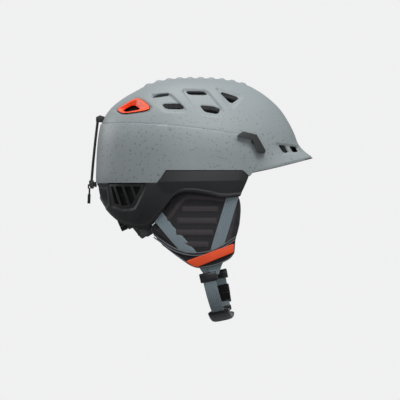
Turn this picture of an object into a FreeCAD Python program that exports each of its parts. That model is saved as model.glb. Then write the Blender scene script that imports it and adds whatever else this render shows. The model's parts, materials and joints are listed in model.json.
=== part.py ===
"""Ski touring helmet: a hard shell with a brim over a foam liner, with a lower shell, ear pads, chin strap,
nape cradle with a fit dial, headlamp clips and a goggle strap retainer at the back.

Millimetres. +X is forward, +Y is the wearer's left, +Z is up. The origin is the centre of the head opening,
at the height of the brow.
"""
import FreeCAD, Part
import math
import os

V = FreeCAD.Vector

# Driving dimensions of the dome
crown_z = 110.0
widest_x = 15.0
dome_front = 141.0
dome_rear = 122.5
dome_half_width = 107.0
dome_exponent = 2.2
crown_lift_datum = -20.0

# Reaches that the outlines and level heights below are drawn for; they follow the dome when it changes
drawn_front = 141.0
drawn_rear = 122.5
drawn_half_width = 107.0
drawn_crown = 110.0

# Walls and gaps
shell_wall = 1.8
lower_wall = 2.2
gap = 0.3
liner_wall = 24.0
pad_depth = 30.0

# Brim
brim_overhang = 12.0
brim_thick = 3.4
brim_root_x = 88.0
brim_root_z = -9.5
brim_tip_x = 168.0
brim_tip_z = 9.0

# Shell outline heights seen from the side
shell_hem_z = -22.5
panel_top_z = -7.0
panel_front_low_z = -14.7
ear_arch_z = -34.0
nape_lobe_z = -80.0

# Ear pads
ear_hinge_y = dome_half_width - 17.0
ear_hinge_z = -38.0
ear_pad_thick = 13.0
ear_lean_deg = 11.0
lip_thick = 2.2
webbing_thick = 1.6
webbing_wide = 15.0

# Chin strap
exit_x = widest_x + 24.0 * dome_front / drawn_front
exit_y = ear_hinge_y - 22.0
exit_z = -128.0
loop_pitch_deg = 12.0
loop_yaw_deg = -5.9
loop_drop = 68.0
chin_webbing_wide = 16.0
chin_pad_wide = 27.0
chin_pad_thick = 6.0
divider_size = (22.0, 4.6, 12.0)
buckle_size = (20.0, 5.0)
magnet_size = 2.6

# Nape cradle and fit dial
cradle_x = widest_x - dome_rear + 45.5
cradle_z = -64.0
cradle_tilt_deg = -23.0
cradle_wide = 62.0
cradle_high = 54.0
plate_thick = 2.5
housing_wide = 44.0
housing_high = 30.0
housing_deep = 8.0
tail_thick = 2.2
tail_high = 5.0
tail_travel = 10.0
pinion_radius = 3.2
dial_radius = 14.0
dial_thick = 9.0
dial_grips = 12
axle_radius = 2.4

# Space in the liner behind the cradle
nape_relief_x = (cradle_x - 24.0, cradle_x + 22.0)
nape_relief_half = cradle_wide / 2 + 27.0
nape_relief_top = -34.0

# Goggle strap retainer
retainer_top = (widest_x - 0.925 * dome_rear - 7.2, 58.0 * crown_z / drawn_crown)
retainer_foot = (widest_x - dome_rear - 5.7, -22.0)
cord_radius = 1.5
cord_spacing = 9.0

# Headlamp clips
clip_lift = 4.8
clip_thick = 3.4

CROWN_RIBS = 10
crown_rib_pitch = 13.4
crown_rib_first_x = -42.0
crown_rib_wide = 4.2
crown_rib_half_span = 24.0
crown_rib_height = 1.3

# Height of each level with its share of the front, rear and side reach
LEVELS = (
    (-90.0, 0.97, 0.80, 0.80),
    (-70.0, 0.98, 0.880, 0.865),
    (-50.0, 0.99, 0.955, 0.925),
    (-25.0, 1.00, 1.000, 0.975),
    (0.0, 1.000, 1.000, 1.000),
    (22.0, 0.955, 0.990, 0.998),
    (42.0, 0.905, 0.965, 0.955),
    (58.0, 0.845, 0.925, 0.885),
    (72.0, 0.775, 0.845, 0.800),
    (84.0, 0.685, 0.725, 0.700),
    (94.0, 0.585, 0.585, 0.585),
    (102.0, 0.470, 0.455, 0.450),
    (107.0, 0.330, 0.315, 0.310),
    (109.5, 0.160, 0.155, 0.150),
)
RING_POINTS = 32


def ring(level, inset):
    """One closed level of the dome, moved in by inset."""
    height, front, rear, side = level
    height = drawn_z(height)
    points = []
    for i in range(RING_POINTS):
        a = 2 * math.pi * i / RING_POINTS
        c, s = math.cos(a), math.sin(a)
        reach = (dome_front - inset) * front if c > 0 else (dome_rear - inset) * rear
        power = 2 / dome_exponent
        x = widest_x + math.copysign(abs(c) ** power, c) * reach
        y = math.copysign(abs(s) ** power, s) * (dome_half_width - inset) * side
        points.append(V(x, y, lifted(height, inset)))
    curve = Part.BSplineCurve()
    curve.interpolate(points, PeriodicFlag=True)
    return Part.Wire([curve.toShape()])


def lifted(height, inset):
    """A level's height once the crown is lowered by inset."""
    if height <= crown_lift_datum:
        return height
    rise = crown_z - crown_lift_datum
    return crown_lift_datum + (height - crown_lift_datum) * (rise - inset) / rise


_domes = {}


def dome(inset):
    """The solid inside the dome surface moved in by inset."""
    if inset not in _domes:
        _domes[inset] = Part.makeLoft([ring(level, inset) for level in LEVELS], True, False)
    return _domes[inset]


def layer(outer, inner):
    """The closed dome wall between two insets."""
    return dome(outer).cut(dome(inner))


def drawn_x(x):
    """An outline's X once the dome's front or rear reach has changed."""
    scale = dome_front / drawn_front if x > widest_x else dome_rear / drawn_rear
    return widest_x + (x - widest_x) * scale


def drawn_z(z):
    """An outline's height once the crown's height has changed."""
    return z * crown_z / drawn_crown if z > 0 else z


def side_prism(outline, y_low, y_high):
    """A prism between two Y values of an X, Z outline that follows the dome."""
    return prism([(drawn_x(x), drawn_z(z)) for x, z in outline], y_low, y_high)


def prism(outline, y_low, y_high):
    """A prism of an X, Z outline between two Y values."""
    corners = [V(x, y_low, z) for x, z in outline]
    wire = Part.makePolygon(corners + corners[:1])
    return Part.Face(wire).extrude(V(0, y_high - y_low, 0))


def mirrored(shape):
    """The same shape on the wearer's other side."""
    return shape.mirror(V(0, 0, 0), V(0, 1, 0))


def box(x, y, z):
    """A box between pairs of values."""
    return Part.makeBox(x[1] - x[0], y[1] - y[0], z[1] - z[0], V(x[0], y[0], z[0]))


def grown(outline, amount):
    """An outline moved away from its middle by about amount."""
    mid_x = sum(p[0] for p in outline) / len(outline)
    mid_z = sum(p[1] for p in outline) / len(outline)
    out = []
    for x, z in outline:
        far = math.hypot(x - mid_x, z - mid_z)
        out.append((mid_x + (x - mid_x) * (far + amount) / far, mid_z + (z - mid_z) * (far + amount) / far))
    return out


# Outlines seen from the wearer's right, X then Z
PANEL_REAR_X = -28.7
PANEL_FRONT_X = 77.3
SHELL_HEM = [
    (-140, shell_hem_z),
    (PANEL_REAR_X, shell_hem_z),
    (PANEL_REAR_X + 10.5, panel_top_z),
    (PANEL_FRONT_X, panel_top_z),
    (PANEL_FRONT_X + 8, panel_front_low_z),
    (brim_root_x + 0.7, brim_root_z),
]
LOWER_EDGE = [
    (74, -40),
    (52, -42.5),
    (38, -38.5),
    (8, ear_arch_z),
    (-6, ear_arch_z - 3.5),
    (-14, -45.5),
    (-25, -60),
    (-39, nape_lobe_z + 3),
    (-46, nape_lobe_z),
    (-61, -78.8),
    (-72, -75.3),
    (-82, -69.5),
    (-91, -61.5),
    (-100, -50),
    (-116, -27),
]
REAR_WINDOW = [(-89, -26.5), (-47.5, -26.5), (-51.5, -36), (-60, -52), (-74, -53.5), (-85, -49.5)]
SIDE_VENTS = (
    [(-35.5, 84.0), (-28, 87.6), (-15.5, 88.4), (-15.5, 86.2), (-27.5, 84.6)],
    [(-24, 75.5), (-3, 76.2), (3.8, 70.5), (2.5, 68.5), (-18.5, 69)],
    [(6.5, 91.5), (28, 91.5), (33, 87), (10.5, 87.4)],
    [(23.5, 74), (41, 72.6), (49.5, 68.8), (46.5, 62.5), (30, 65.2)],
    [(48, 91.5), (74, 84), (63, 75.5)],
)
ACCENT_VENT = [
    (-82, 69), (-72, 75), (-58, 83), (-53, 83), (-44.5, 77.5), (-38, 71), (-40.5, 67.5), (-72, 63.5),
]
ACCENT_HOLE = [(-71.5, 67.8), (-59.5, 74.5), (-51, 69.2), (-68, 66.2)]
BROW_SLOTS = (
    [(121.5, 24.3), (131.5, 23.6), (136, 15.0), (128.3, 14.4)],
    [(136, 23.2), (145.7, 22.4), (149.6, 16.4), (140.5, 15.4)],
)
CLIP_ARMS = [(70.5, 35.5), (77, 40.5), (94.5, 36.5), (105.5, 17), (104.5, 14), (97, 13.5), (96, 16), (89, 30)]
CLIP_FEET = (
    [(70.5, 35.5), (77, 40.5), (80, 39.5), (80, 33)],
    [(105.5, 17), (104.5, 14), (97, 13.5), (96, 16), (98, 21), (103, 21)],
)
CLIP_PEG = (90.5, 27.5)
OUT = 1.3 * dome_half_width
INNER_Y = 12.0


def upper_shell():
    """The hard shell with its brim, vent openings and crown ribs."""
    below = SHELL_HEM + [(180, brim_tip_z), (220, 150), (-140, 150)]
    body = layer(0, shell_wall).common(side_prism(below, -OUT, OUT))
    body = body.fuse(brim()).fuse(crown_ribs())
    for side in (lambda s: s, mirrored):
        for vent in SIDE_VENTS:
            body = body.cut(side(side_prism(vent, -OUT, -INNER_Y)))
        for slot in BROW_SLOTS:
            body = body.cut(side(side_prism(slot, -OUT, -INNER_Y)))
        body = body.cut(side(side_prism(grown(ACCENT_VENT, gap), -OUT, -INNER_Y)))
    return body


def brim():
    """The visor: a sloping slab inside a wider ring, hollow where the head goes."""
    flare = ring((-40, 1 + brim_overhang / dome_front, 1.0, 1.0), 0)
    column = Part.Face(flare).extrude(V(0, 0, 90))
    slab = side_prism(
        [
            (brim_root_x, brim_root_z),
            (brim_tip_x + 6, brim_tip_z - 1.5 + 1.4),
            (brim_tip_x + 6, brim_tip_z + brim_thick),
            (brim_root_x, brim_root_z + brim_thick),
        ],
        -OUT,
        OUT,
    )
    return column.common(slab).cut(dome(shell_wall))


def crown_ribs():
    """Raised bars across the crown, following the dome."""
    skin = layer(-crown_rib_height, shell_wall / 2)
    bars = None
    for i in range(CROWN_RIBS):
        x = crown_rib_first_x + i * crown_rib_pitch
        bar = box((x, x + crown_rib_wide), (-crown_rib_half_span, crown_rib_half_span), (60, crown_z + 5))
        bars = bar if bars is None else bars.fuse(bar)
    return skin.common(bars)


def lower_shell():
    """The black shell round the sides and the nape, with a window behind each ear."""
    top = [(x, z - gap) for x, z in SHELL_HEM]
    outline = top[:5] + LOWER_EDGE
    body = layer(0, lower_wall).common(side_prism(outline, -OUT, OUT))
    window = side_prism(REAR_WINDOW, -OUT, -INNER_Y * 2.5)
    return body.cut(window).cut(mirrored(window))


def vent_duct(outline, start_y):
    """A sloping duct from a vent towards the head."""
    start = start_y * dome_half_width / drawn_half_width
    corners = [V(drawn_x(x), -start, drawn_z(z) + 5) for x, z in outline]
    return Part.Face(Part.makePolygon(corners + corners[:1])).extrude(V(0, 52, -44))


def impact_liner():
    """The foam liner, with ducts behind the vents."""
    outline = [
        (-140, -24),
        (-108, -31),
        (-97, -45),
        (-86, -59),
        (-73, -68),
        (-52, -73),
        (-44, -72),
        (-18, -41),
        (-8, -31),
        (8, -28),
        (50, -31),
        (68, -33),
        (85, -9),
        (90, -6.5),
        (180, 12),
        (220, 150),
        (-140, 150),
    ]
    body = layer(shell_wall + gap, liner_wall).common(side_prism(outline, -OUT, OUT))
    body = body.cut(dome(0).cut(dome(lower_wall + gap)).common(side_prism(outline, -OUT, OUT)))
    body = body.cut(box(nape_relief_x, (-nape_relief_half, nape_relief_half), (-110, nape_relief_top)))
    starts = (82, 96, 72, 97, 78)
    for side in (lambda s: s, mirrored):
        for vent, start in zip(SIDE_VENTS, starts):
            body = body.cut(side(vent_duct(vent, start)))
        body = body.cut(side(side_prism(grown(ACCENT_VENT, 2 * gap), -OUT, -INNER_Y)).common(layer(0, 8.5)))
        body = body.cut(side(vent_duct(ACCENT_HOLE, 96)))
        body = body.cut(side(side_prism(grown(REAR_WINDOW, 3), -OUT, -INNER_Y * 2)).common(layer(0, 13)))
        for slot in BROW_SLOTS:
            body = body.cut(side(side_prism(slot, -OUT, -INNER_Y)).common(layer(0, 12)))
    return body


def accent_vent_frame():
    """The coloured frame set in the rear vent on the right."""
    frame = side_prism(ACCENT_VENT, -OUT, -INNER_Y).cut(side_prism(ACCENT_HOLE, -OUT, -INNER_Y))
    return frame.common(layer(-1.0, 8.0))


def rear_vent_grille():
    """A frame with slanting fins behind the window of the lower shell."""
    rim = side_prism(grown(REAR_WINDOW, 2.5), -OUT, -INNER_Y * 2.5)
    rim = rim.cut(side_prism(grown(REAR_WINDOW, -2), -OUT, -INNER_Y * 2.5))
    inside = side_prism(grown(REAR_WINDOW, -1), -OUT, -INNER_Y * 2.5)
    fins = None
    for x in (-83, -72, -61):
        fin = side_prism([(x - 4, -20), (x - 1, -20), (x + 12, -60), (x + 9, -60)], -OUT, -INNER_Y * 2.5)
        fins = fin if fins is None else fins.fuse(fin)
    shape = rim.fuse(inside.common(fins))
    return shape.common(layer(lower_wall + gap, 10.0))


def headlamp_clip():
    """A hooked arm standing off the shell on the right, for a headlamp strap."""
    arms = side_prism(CLIP_ARMS, -OUT, -INNER_Y).common(layer(-clip_lift - clip_thick, -clip_lift))
    x, z = CLIP_PEG
    peg = side_prism([(x - 2, z - 2), (x + 2, z - 2), (x + 2, z + 5), (x - 2, z + 5)], -OUT, -INNER_Y)
    shape = arms
    for foot in CLIP_FEET:
        shape = shape.fuse(side_prism(foot, -OUT, -INNER_Y).common(layer(-clip_lift - 1, 0)))
    return shape.fuse(peg.common(layer(-clip_lift - 1, 0)))


def comfort_pad(region):
    """A pad on the inside of the liner within a region."""
    return layer(liner_wall + gap, pad_depth).common(region)


def halo_arm():
    """The right arm of the head band, from the temple back and down to the nape."""
    outline = [(62, -6), (62, -19), (-22, -62), (-56, -71), (-56, -59), (-24, -50), (20, -20)]
    strip = layer(pad_depth + gap, pad_depth + gap + 1.6)
    return strip.common(side_prism(outline, -OUT, -36))


def halo_anchor():
    """The pin that holds the right arm to the liner at the temple."""
    post = Part.makeCylinder(3.2, 60, V(drawn_x(52.0), -dome_half_width - 3, -11.5), V(0, 1, 0))
    return post.common(layer(liner_wall + gap, pad_depth))


def cradle_place(shape):
    """Turns a shape from the cradle's own frame into the helmet's."""
    moved = shape.copy()
    moved.Placement = FreeCAD.Placement(
        V(cradle_x, 0, cradle_z), FreeCAD.Rotation(V(0, 1, 0), cradle_tilt_deg)
    ).multiply(moved.Placement)
    return moved


channel_front = -plate_thick - 0.5
channel_deep = tail_thick + 2 * gap
channel_high = 2 * (pinion_radius + 2 * gap + tail_high) + gap


def nape_cradle():
    """The plate behind the head, with the dial's housing and two hangers."""
    half_w, half_h = cradle_wide / 2, cradle_high / 2
    plate = box((-plate_thick, 0), (-half_w, half_w), (-half_h, half_h))
    plate = plate.makeFillet(9.0, [e for e in plate.Edges if is_along(e, V(1, 0, 0))])
    hangers = box((-plate_thick, 0), (14, 22), (20, 42)).fuse(box((-plate_thick, 0), (-22, -14), (20, 42)))
    half = (-housing_wide / 2, housing_wide / 2)
    housing = box((-plate_thick - housing_deep, -2), half, (-housing_high / 2, housing_high / 2))
    housing = housing.makeFillet(5.0, [e for e in housing.Edges if is_along(e, V(1, 0, 0))])
    body = plate.fuse(hangers).fuse(housing)
    channel = box(
        (channel_front - channel_deep, channel_front),
        (-housing_wide, housing_wide),
        (-channel_high / 2, channel_high / 2),
    )
    hole = Part.makeCylinder(axle_radius + 0.05, 20, V(-22, 0, 0), V(1, 0, 0))
    slots = None
    for y in (-23, 0, 23):
        slot = box((-3, 1), (y - 4, y + 4), (-half_h + 4, -half_h + 8))
        slots = slot if slots is None else slots.fuse(slot)
    return cradle_place(body.cut(channel).cut(hole).cut(slots))


def is_along(edge, direction):
    """Whether a straight edge runs along a direction."""
    along = edge.Vertexes[-1].Point.sub(edge.Vertexes[0].Point)
    return along.Length > 0 and abs(along.normalize().dot(direction)) > 0.999


def band_tail(high_side):
    """A sliding tail of the head band: the right one above the pinion, the left one below."""
    near = 12.0
    far = -40.0
    front = channel_front - gap
    z_in = pinion_radius + gap
    bar = box((front - tail_thick, front), (far, near), (z_in, z_in + tail_high))
    tip = box((front - tail_thick, front), (far - 5, far + 2), (z_in - 2.5, z_in + tail_high + 2.5))
    bar = bar.fuse(tip)
    if not high_side:
        bar = bar.mirror(V(0, 0, 0), V(0, 1, 0)).mirror(V(0, 0, 0), V(0, 0, 1))
    return cradle_place(bar)


def dial_pinion():
    """The pinion between the tails and its axle."""
    front = channel_front - gap
    wheel = Part.makeCylinder(pinion_radius, tail_thick, V(front - tail_thick, 0, 0), V(1, 0, 0))
    axle = Part.makeCylinder(axle_radius, 12.0, V(front - tail_thick - 11.9, 0, 0), V(1, 0, 0))
    return cradle_place(wheel.fuse(axle))


def fit_dial():
    """The knob turned by hand, with finger grips round its rim."""
    back = -plate_thick - housing_deep - gap
    knob = Part.makeCylinder(dial_radius, dial_thick, V(back - dial_thick, 0, 0), V(1, 0, 0))
    knob = knob.makeChamfer(1.4, [knob.Edges[0]]) if knob.Edges else knob
    for i in range(dial_grips):
        a = 2 * math.pi * i / dial_grips
        y, z = (dial_radius + 1.2) * math.cos(a), (dial_radius + 1.2) * math.sin(a)
        knob = knob.cut(Part.makeCylinder(2.6, dial_thick + 2, V(back - dial_thick - 1, y, z), V(1, 0, 0)))
    socket = Part.makeCylinder(axle_radius, 20, V(back - 6.7, 0, 0), V(1, 0, 0))
    return cradle_place(knob.cut(socket))


def nape_pad():
    """The soft pad on the head side of the cradle."""
    pad = box((gap, 5.5), (-27, 27), (-17, 24))
    pad = pad.makeFillet(2.2, pad.Edges)
    return cradle_place(pad)


EAR_PAD = [
    (-9, -48), (-3, -41.5), (8, -38.5), (38, -41), (52, -45), (70, -44), (75.4, -52), (75.2, -64), (72, -82),
    (67.5, -100), (66.5, -113), (61, -119), (45, -126.5), (25, -130.5), (15, -129), (4, -122), (-22, -102.5),
    (-32, -92), (-31, -81), (-19, -63),
]
EAR_LIP = [
    (-28, -95), (-22, -96.5), (-4, -108), (16, -111), (34, -110), (52, -102.5), (67.6, -91.5), (70, -92),
    (67.5, -101), (66.5, -113), (61, -119), (45, -126.5), (25, -130.5), (15, -129), (4, -122), (-22, -102.5),
]
FRONT_WEB = [(58, -43), (71.5, -43), (54, -99.5), (40, -103.5)]
REAR_WEB = [(-29.5, -71), (-20.5, -59.5), (16, -107), (1, -107.5)]
LABEL = [(6, -121.5), (66, -98.5), (65.5, -109.5), (42, -119), (20, -128.5), (14, -128)]


def lean(shape):
    """Leans a right-hand ear piece inwards about the ear hinge."""
    moved = shape.copy()
    moved.rotate(V(0, -ear_hinge_y, ear_hinge_z), V(1, 0, 0), ear_lean_deg)
    return moved


def ear_slab(outline, outer, inner):
    """An ear piece between two distances in from the ear hinge's plane."""
    return side_prism(outline, -ear_hinge_y + outer, -ear_hinge_y + inner)


def ear_pad():
    """The padded ear piece on the right."""
    slab = ear_slab(EAR_PAD, 0, ear_pad_thick)
    speaker = ear_slab([(8, -62), (34, -62), (34, -90), (8, -90)], ear_pad_thick - 5, ear_pad_thick + 1)
    return lean(slab.cut(speaker))


def ear_cushion():
    """The disc over the ear, in the pad's pocket."""
    outline = [(9, -63), (33, -63), (33, -89), (9, -89)]
    return lean(ear_slab(outline, ear_pad_thick - 4.7, ear_pad_thick - 0.5))


def ear_lip():
    """The outer lower band of the ear pad that the webbing runs behind."""
    stand = webbing_thick + 2 * gap
    return lean(ear_slab(EAR_LIP, -stand - lip_thick, -stand))


def ear_label():
    """The plain coloured band on the lip."""
    stand = webbing_thick + 2 * gap + lip_thick
    return lean(ear_slab(LABEL, -stand - 0.8, -stand))


def webbing(outline):
    """A flat strap lying on the outside of the ear pad."""
    return lean(ear_slab(outline, -gap - webbing_thick, -gap))


def loop_place(shape):
    """Turns a chin strap piece from the loop's own frame into the helmet's."""
    moved = shape.copy()
    turn = FreeCAD.Rotation(V(0, 0, 1), loop_yaw_deg).multiply(FreeCAD.Rotation(V(0, 1, 0), -loop_pitch_deg))
    moved.Placement = FreeCAD.Placement(V(exit_x, 0, exit_z), turn).multiply(moved.Placement)
    return moved


def loop_point(share, offset=0.0):
    """A point on the hanging loop: share is -1 at the right exit, 0 at the chin and 1 at the left exit."""
    y = exit_y * math.sin(share * math.pi / 2)
    z = -loop_drop * abs(math.cos(share * math.pi / 2)) ** 0.85
    if offset == 0:
        return V(0, y, z)
    step = 1e-3
    before, after = loop_point(share - step), loop_point(share + step)
    along = after.sub(before).normalize()
    inward = V(0, -along.z, along.y)
    return V(0, y, z).add(inward.multiply(offset))


def ribbon(low, high, inner, outer, wide):
    """A strap along the loop between two shares, with its inner and outer faces and its width."""
    count = 9
    shares = [low + (high - low) * i / (count - 1) for i in range(count)]
    inside = Part.BSplineCurve()
    inside.interpolate([loop_point(s, inner) for s in shares])
    outside = Part.BSplineCurve()
    outside.interpolate([loop_point(s, outer) for s in shares])
    first = Part.LineSegment(loop_point(low, inner), loop_point(low, outer)).toShape()
    last = Part.LineSegment(loop_point(high, inner), loop_point(high, outer)).toShape()
    face = Part.Face(Part.Wire(Part.__sortEdges__([inside.toShape(), last, outside.toShape(), first])))
    face.translate(V(-wide / 2, 0, 0))
    return loop_place(face.extrude(V(wide, 0, 0)))


# Shares of the loop where its pieces meet
DIVIDER_TOP, DIVIDER_LOW = 0.955, 0.86
STRAP_TOP = 0.848
CHIN_RIGHT, CHIN_LEFT = -0.396, 0.26
BUCKLE_LOW, BUCKLE_SPLIT, BUCKLE_HIGH = 0.53, 0.645, 0.78
KEEPER_SHARE = 0.40
SHARE_GAP = 0.004
MAGNET_DEEP = 0.03


def strap_divider(sign):
    """The plastic keeper below an ear pad."""
    if sign < 0:
        return ribbon(-DIVIDER_TOP, -DIVIDER_LOW, -divider_size[1] / 2, divider_size[1] / 2, divider_size[0])
    return ribbon(DIVIDER_LOW, DIVIDER_TOP, -divider_size[1] / 2, divider_size[1] / 2, divider_size[0])


def right_chin_webbing():
    """The webbing from the right keeper to the chin pad."""
    half = webbing_thick / 2
    return ribbon(-STRAP_TOP, CHIN_RIGHT - SHARE_GAP, -half, half, chin_webbing_wide)


def chin_pad():
    """The soft sleeve under the chin."""
    half = chin_pad_thick / 2
    return ribbon(CHIN_RIGHT, CHIN_LEFT, -half, half, chin_pad_wide)


def buckle_webbing():
    """The webbing from the chin pad to the buckle."""
    half = webbing_thick / 2
    return ribbon(CHIN_LEFT + SHARE_GAP, BUCKLE_LOW - SHARE_GAP, -half, half, chin_webbing_wide)


def buckle_half(low, high):
    """One half of the buckle."""
    return ribbon(low, high, -buckle_size[1] / 2, buckle_size[1] / 2, buckle_size[0])


def buckle_magnet(side):
    """The magnet in a half's end face: side is -1 in the chin pad's half and 1 in the other."""
    low = BUCKLE_SPLIT + (SHARE_GAP if side > 0 else -MAGNET_DEEP - SHARE_GAP)
    return ribbon(low, low + MAGNET_DEEP, -magnet_size / 2, magnet_size / 2, 3 * magnet_size)


def left_chin_webbing():
    """The webbing from the left keeper to the buckle."""
    half = webbing_thick / 2
    return ribbon(BUCKLE_HIGH + SHARE_GAP, STRAP_TOP, -half, half, chin_webbing_wide)


def strap_keeper():
    """The elastic ring on the webbing beside the buckle."""
    wall = 1.4
    low, high = KEEPER_SHARE - 0.03, KEEPER_SHARE + 0.03
    half = webbing_thick / 2
    outer = ribbon(low, high, -half - wall, half + wall, chin_webbing_wide + 2 * wall)
    return outer.cut(ribbon(low - 0.02, high + 0.02, -half - 0.05, half + 0.05, chin_webbing_wide + 0.1))


def retainer_cords():
    """Two elastic cords down the back, over the goggle strap."""
    (x0, z0), (x1, z1) = retainer_top, retainer_foot
    along = V(x1 - x0, 0, z1 - z0)
    cords = []
    for y in (-cord_spacing / 2, cord_spacing / 2):
        start = V(x0, y, z0).add(V(along).normalize().multiply(2.4))
        cords.append(Part.makeCylinder(cord_radius, along.Length - 5.2, start, along))
    return Part.makeCompound(cords)


def retainer_eye():
    """The crosspiece at the cords' top, turning on the anchor's pin."""
    x, z = retainer_top
    barrel = Part.makeCylinder(2.4, cord_spacing + 4, V(x, -(cord_spacing + 4) / 2, z), V(0, 1, 0))
    return barrel.cut(Part.makeCylinder(1.25, 40, V(x, -20, z), V(0, 1, 0)))


def retainer_anchor():
    """The fixed lug and pin at the top of the retainer."""
    x, z = retainer_top
    reach = (cord_spacing + 4) / 2 + gap
    shape = Part.makeCylinder(1.2, 2 * reach + 4, V(x, -reach - 2, z), V(0, 1, 0))
    for low in (-reach - 2.5, reach):
        outline = [(x - 2.2, z - 3), (x - 2.2, z + 2.5), (x + 3, z + 5), (x + 9, z + 3), (x + 5, z - 4)]
        lug = prism(outline, low, low + 2.5)
        shape = shape.fuse(lug)
    return shape.cut(dome(-0.1))


def retainer_hook():
    """The hook at the cords' foot."""
    x, z = retainer_foot
    half = cord_spacing / 2 + 3
    outline = [
        (x - 3.4, z + 2.4), (x + 2.2, z + 2.4), (x + 2.6, z - 3), (x + 2.2, z - 8), (x - 1.2, z - 8),
        (x - 3.4, z - 4),
    ]
    return prism(outline, -half, half)


def retainer_catch():
    """The ledge on the shell's hem that the hook sits against."""
    x, z = retainer_foot
    half = cord_spacing / 2 + 5
    ledge = prism([(x + 2.9, z + 0.5), (x + 16, z + 1.5), (x + 16, z - 5), (x + 3.2, z - 6)], -half, half)
    return ledge.cut(dome(-0.15))


def pull_tab():
    """The tab pulled to free the hook."""
    x, z = retainer_foot
    cord = Part.makeCylinder(1.1, 17, V(x - 3.6, 0, z - 24), V(0.04, 0, 1))
    grip = Part.makeCylinder(1.9, 12, V(x - 3.9, 0, z - 27), V(0.04, 0, 1))
    stem = box((x - 5.2, x - 3.5), (-2, 2), (z - 8, z - 2.5))
    return cord.fuse(grip).fuse(stem)


def strap_anchors():
    """The plates that hold the right-hand webbing under the shell."""
    plates = []
    for x, z in ((66, -24), (-44, -50)):
        reach = (-dome_half_width + 3, -dome_half_width + 37)
        plate = box((drawn_x(x) - 8, drawn_x(x) + 8), reach, (z - 5, z + 5))
        plates.append(plate.common(layer(liner_wall + gap, liner_wall + gap + 2.2)))
    return Part.makeCompound(plates)


def build():
    """Every node's shape by name."""
    y_side = (-OUT, -58)
    nodes = {
        "upper_shell": upper_shell(),
        "lower_shell": lower_shell(),
        "impact_liner": impact_liner(),
        "brow_pad": comfort_pad(box((72, 160), (-66, 66), (0, 24))),
        "crown_pad": comfort_pad(box((-24, 62), (-34, 34), (58, 100))),
        "rear_pad": comfort_pad(box((-120, -30), (-58, 58), (0, 26))),
        "nape_cradle": nape_cradle(),
        "nape_pad": nape_pad(),
        "dial_pinion": dial_pinion(),
        "fit_dial": fit_dial(),
        "right_band_tail": band_tail(True),
        "left_band_tail": band_tail(False),
        "retainer_anchor": retainer_anchor(),
        "retainer_catch": retainer_catch(),
        "retainer_eye": retainer_eye(),
        "retainer_cords": retainer_cords(),
        "retainer_hook": retainer_hook(),
        "retainer_pull_tab": pull_tab(),
        "right_strap_divider": strap_divider(-1),
        "left_strap_divider": strap_divider(1),
        "right_chin_webbing": right_chin_webbing(),
        "chin_pad": chin_pad(),
        "buckle_webbing": buckle_webbing(),
        "buckle_tongue": buckle_half(BUCKLE_LOW, BUCKLE_SPLIT - SHARE_GAP).cut(buckle_magnet(-1)),
        "buckle_housing": buckle_half(BUCKLE_SPLIT + SHARE_GAP, BUCKLE_HIGH).cut(buckle_magnet(1)),
        "tongue_magnet": buckle_magnet(-1),
        "housing_magnet": buckle_magnet(1),
        "left_chin_webbing": left_chin_webbing(),
        "strap_keeper": strap_keeper(),
    }
    paired = {
        "accent_vent_frame": accent_vent_frame(),
        "rear_vent_grille": rear_vent_grille(),
        "headlamp_clip": headlamp_clip(),
        "side_comfort_pad": comfort_pad(box((-26, 68), y_side, (0, 26))),
        "halo_arm": halo_arm(),
        "halo_anchor": halo_anchor(),
        "strap_anchors": strap_anchors(),
        "ear_pad": ear_pad(),
        "ear_cushion": ear_cushion(),
        "ear_lip": ear_lip(),
        "ear_label": ear_label(),
        "front_webbing": webbing(FRONT_WEB),
        "rear_webbing": webbing(REAR_WEB),
    }
    for name, shape in paired.items():
        nodes["right_" + name] = shape
        nodes["left_" + name] = mirrored(shape)
    return nodes


def main():
    """Writes one STEP file per node."""
    os.makedirs("parts", exist_ok=True)
    for old in os.listdir("parts"):
        os.remove(os.path.join("parts", old))
    for name, shape in build().items():
        solids = shape.Solids
        volume = shape.Volume / 1000
        print(f"{name:26s} solids {len(solids)} volume {volume:8.2f} cm3 valid {shape.isValid()}")
        whole = solids[0] if len(solids) == 1 else Part.makeCompound(solids)
        whole.exportStep(f"parts/{name}.step")


main()
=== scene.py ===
"""Looks of a ski touring helmet: shells, foam, pads, straps and fittings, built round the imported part."""

from __future__ import annotations

import json
import logging
import math
from dataclasses import dataclass
from enum import Enum
from typing import Callable, ClassVar, Sequence

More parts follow.
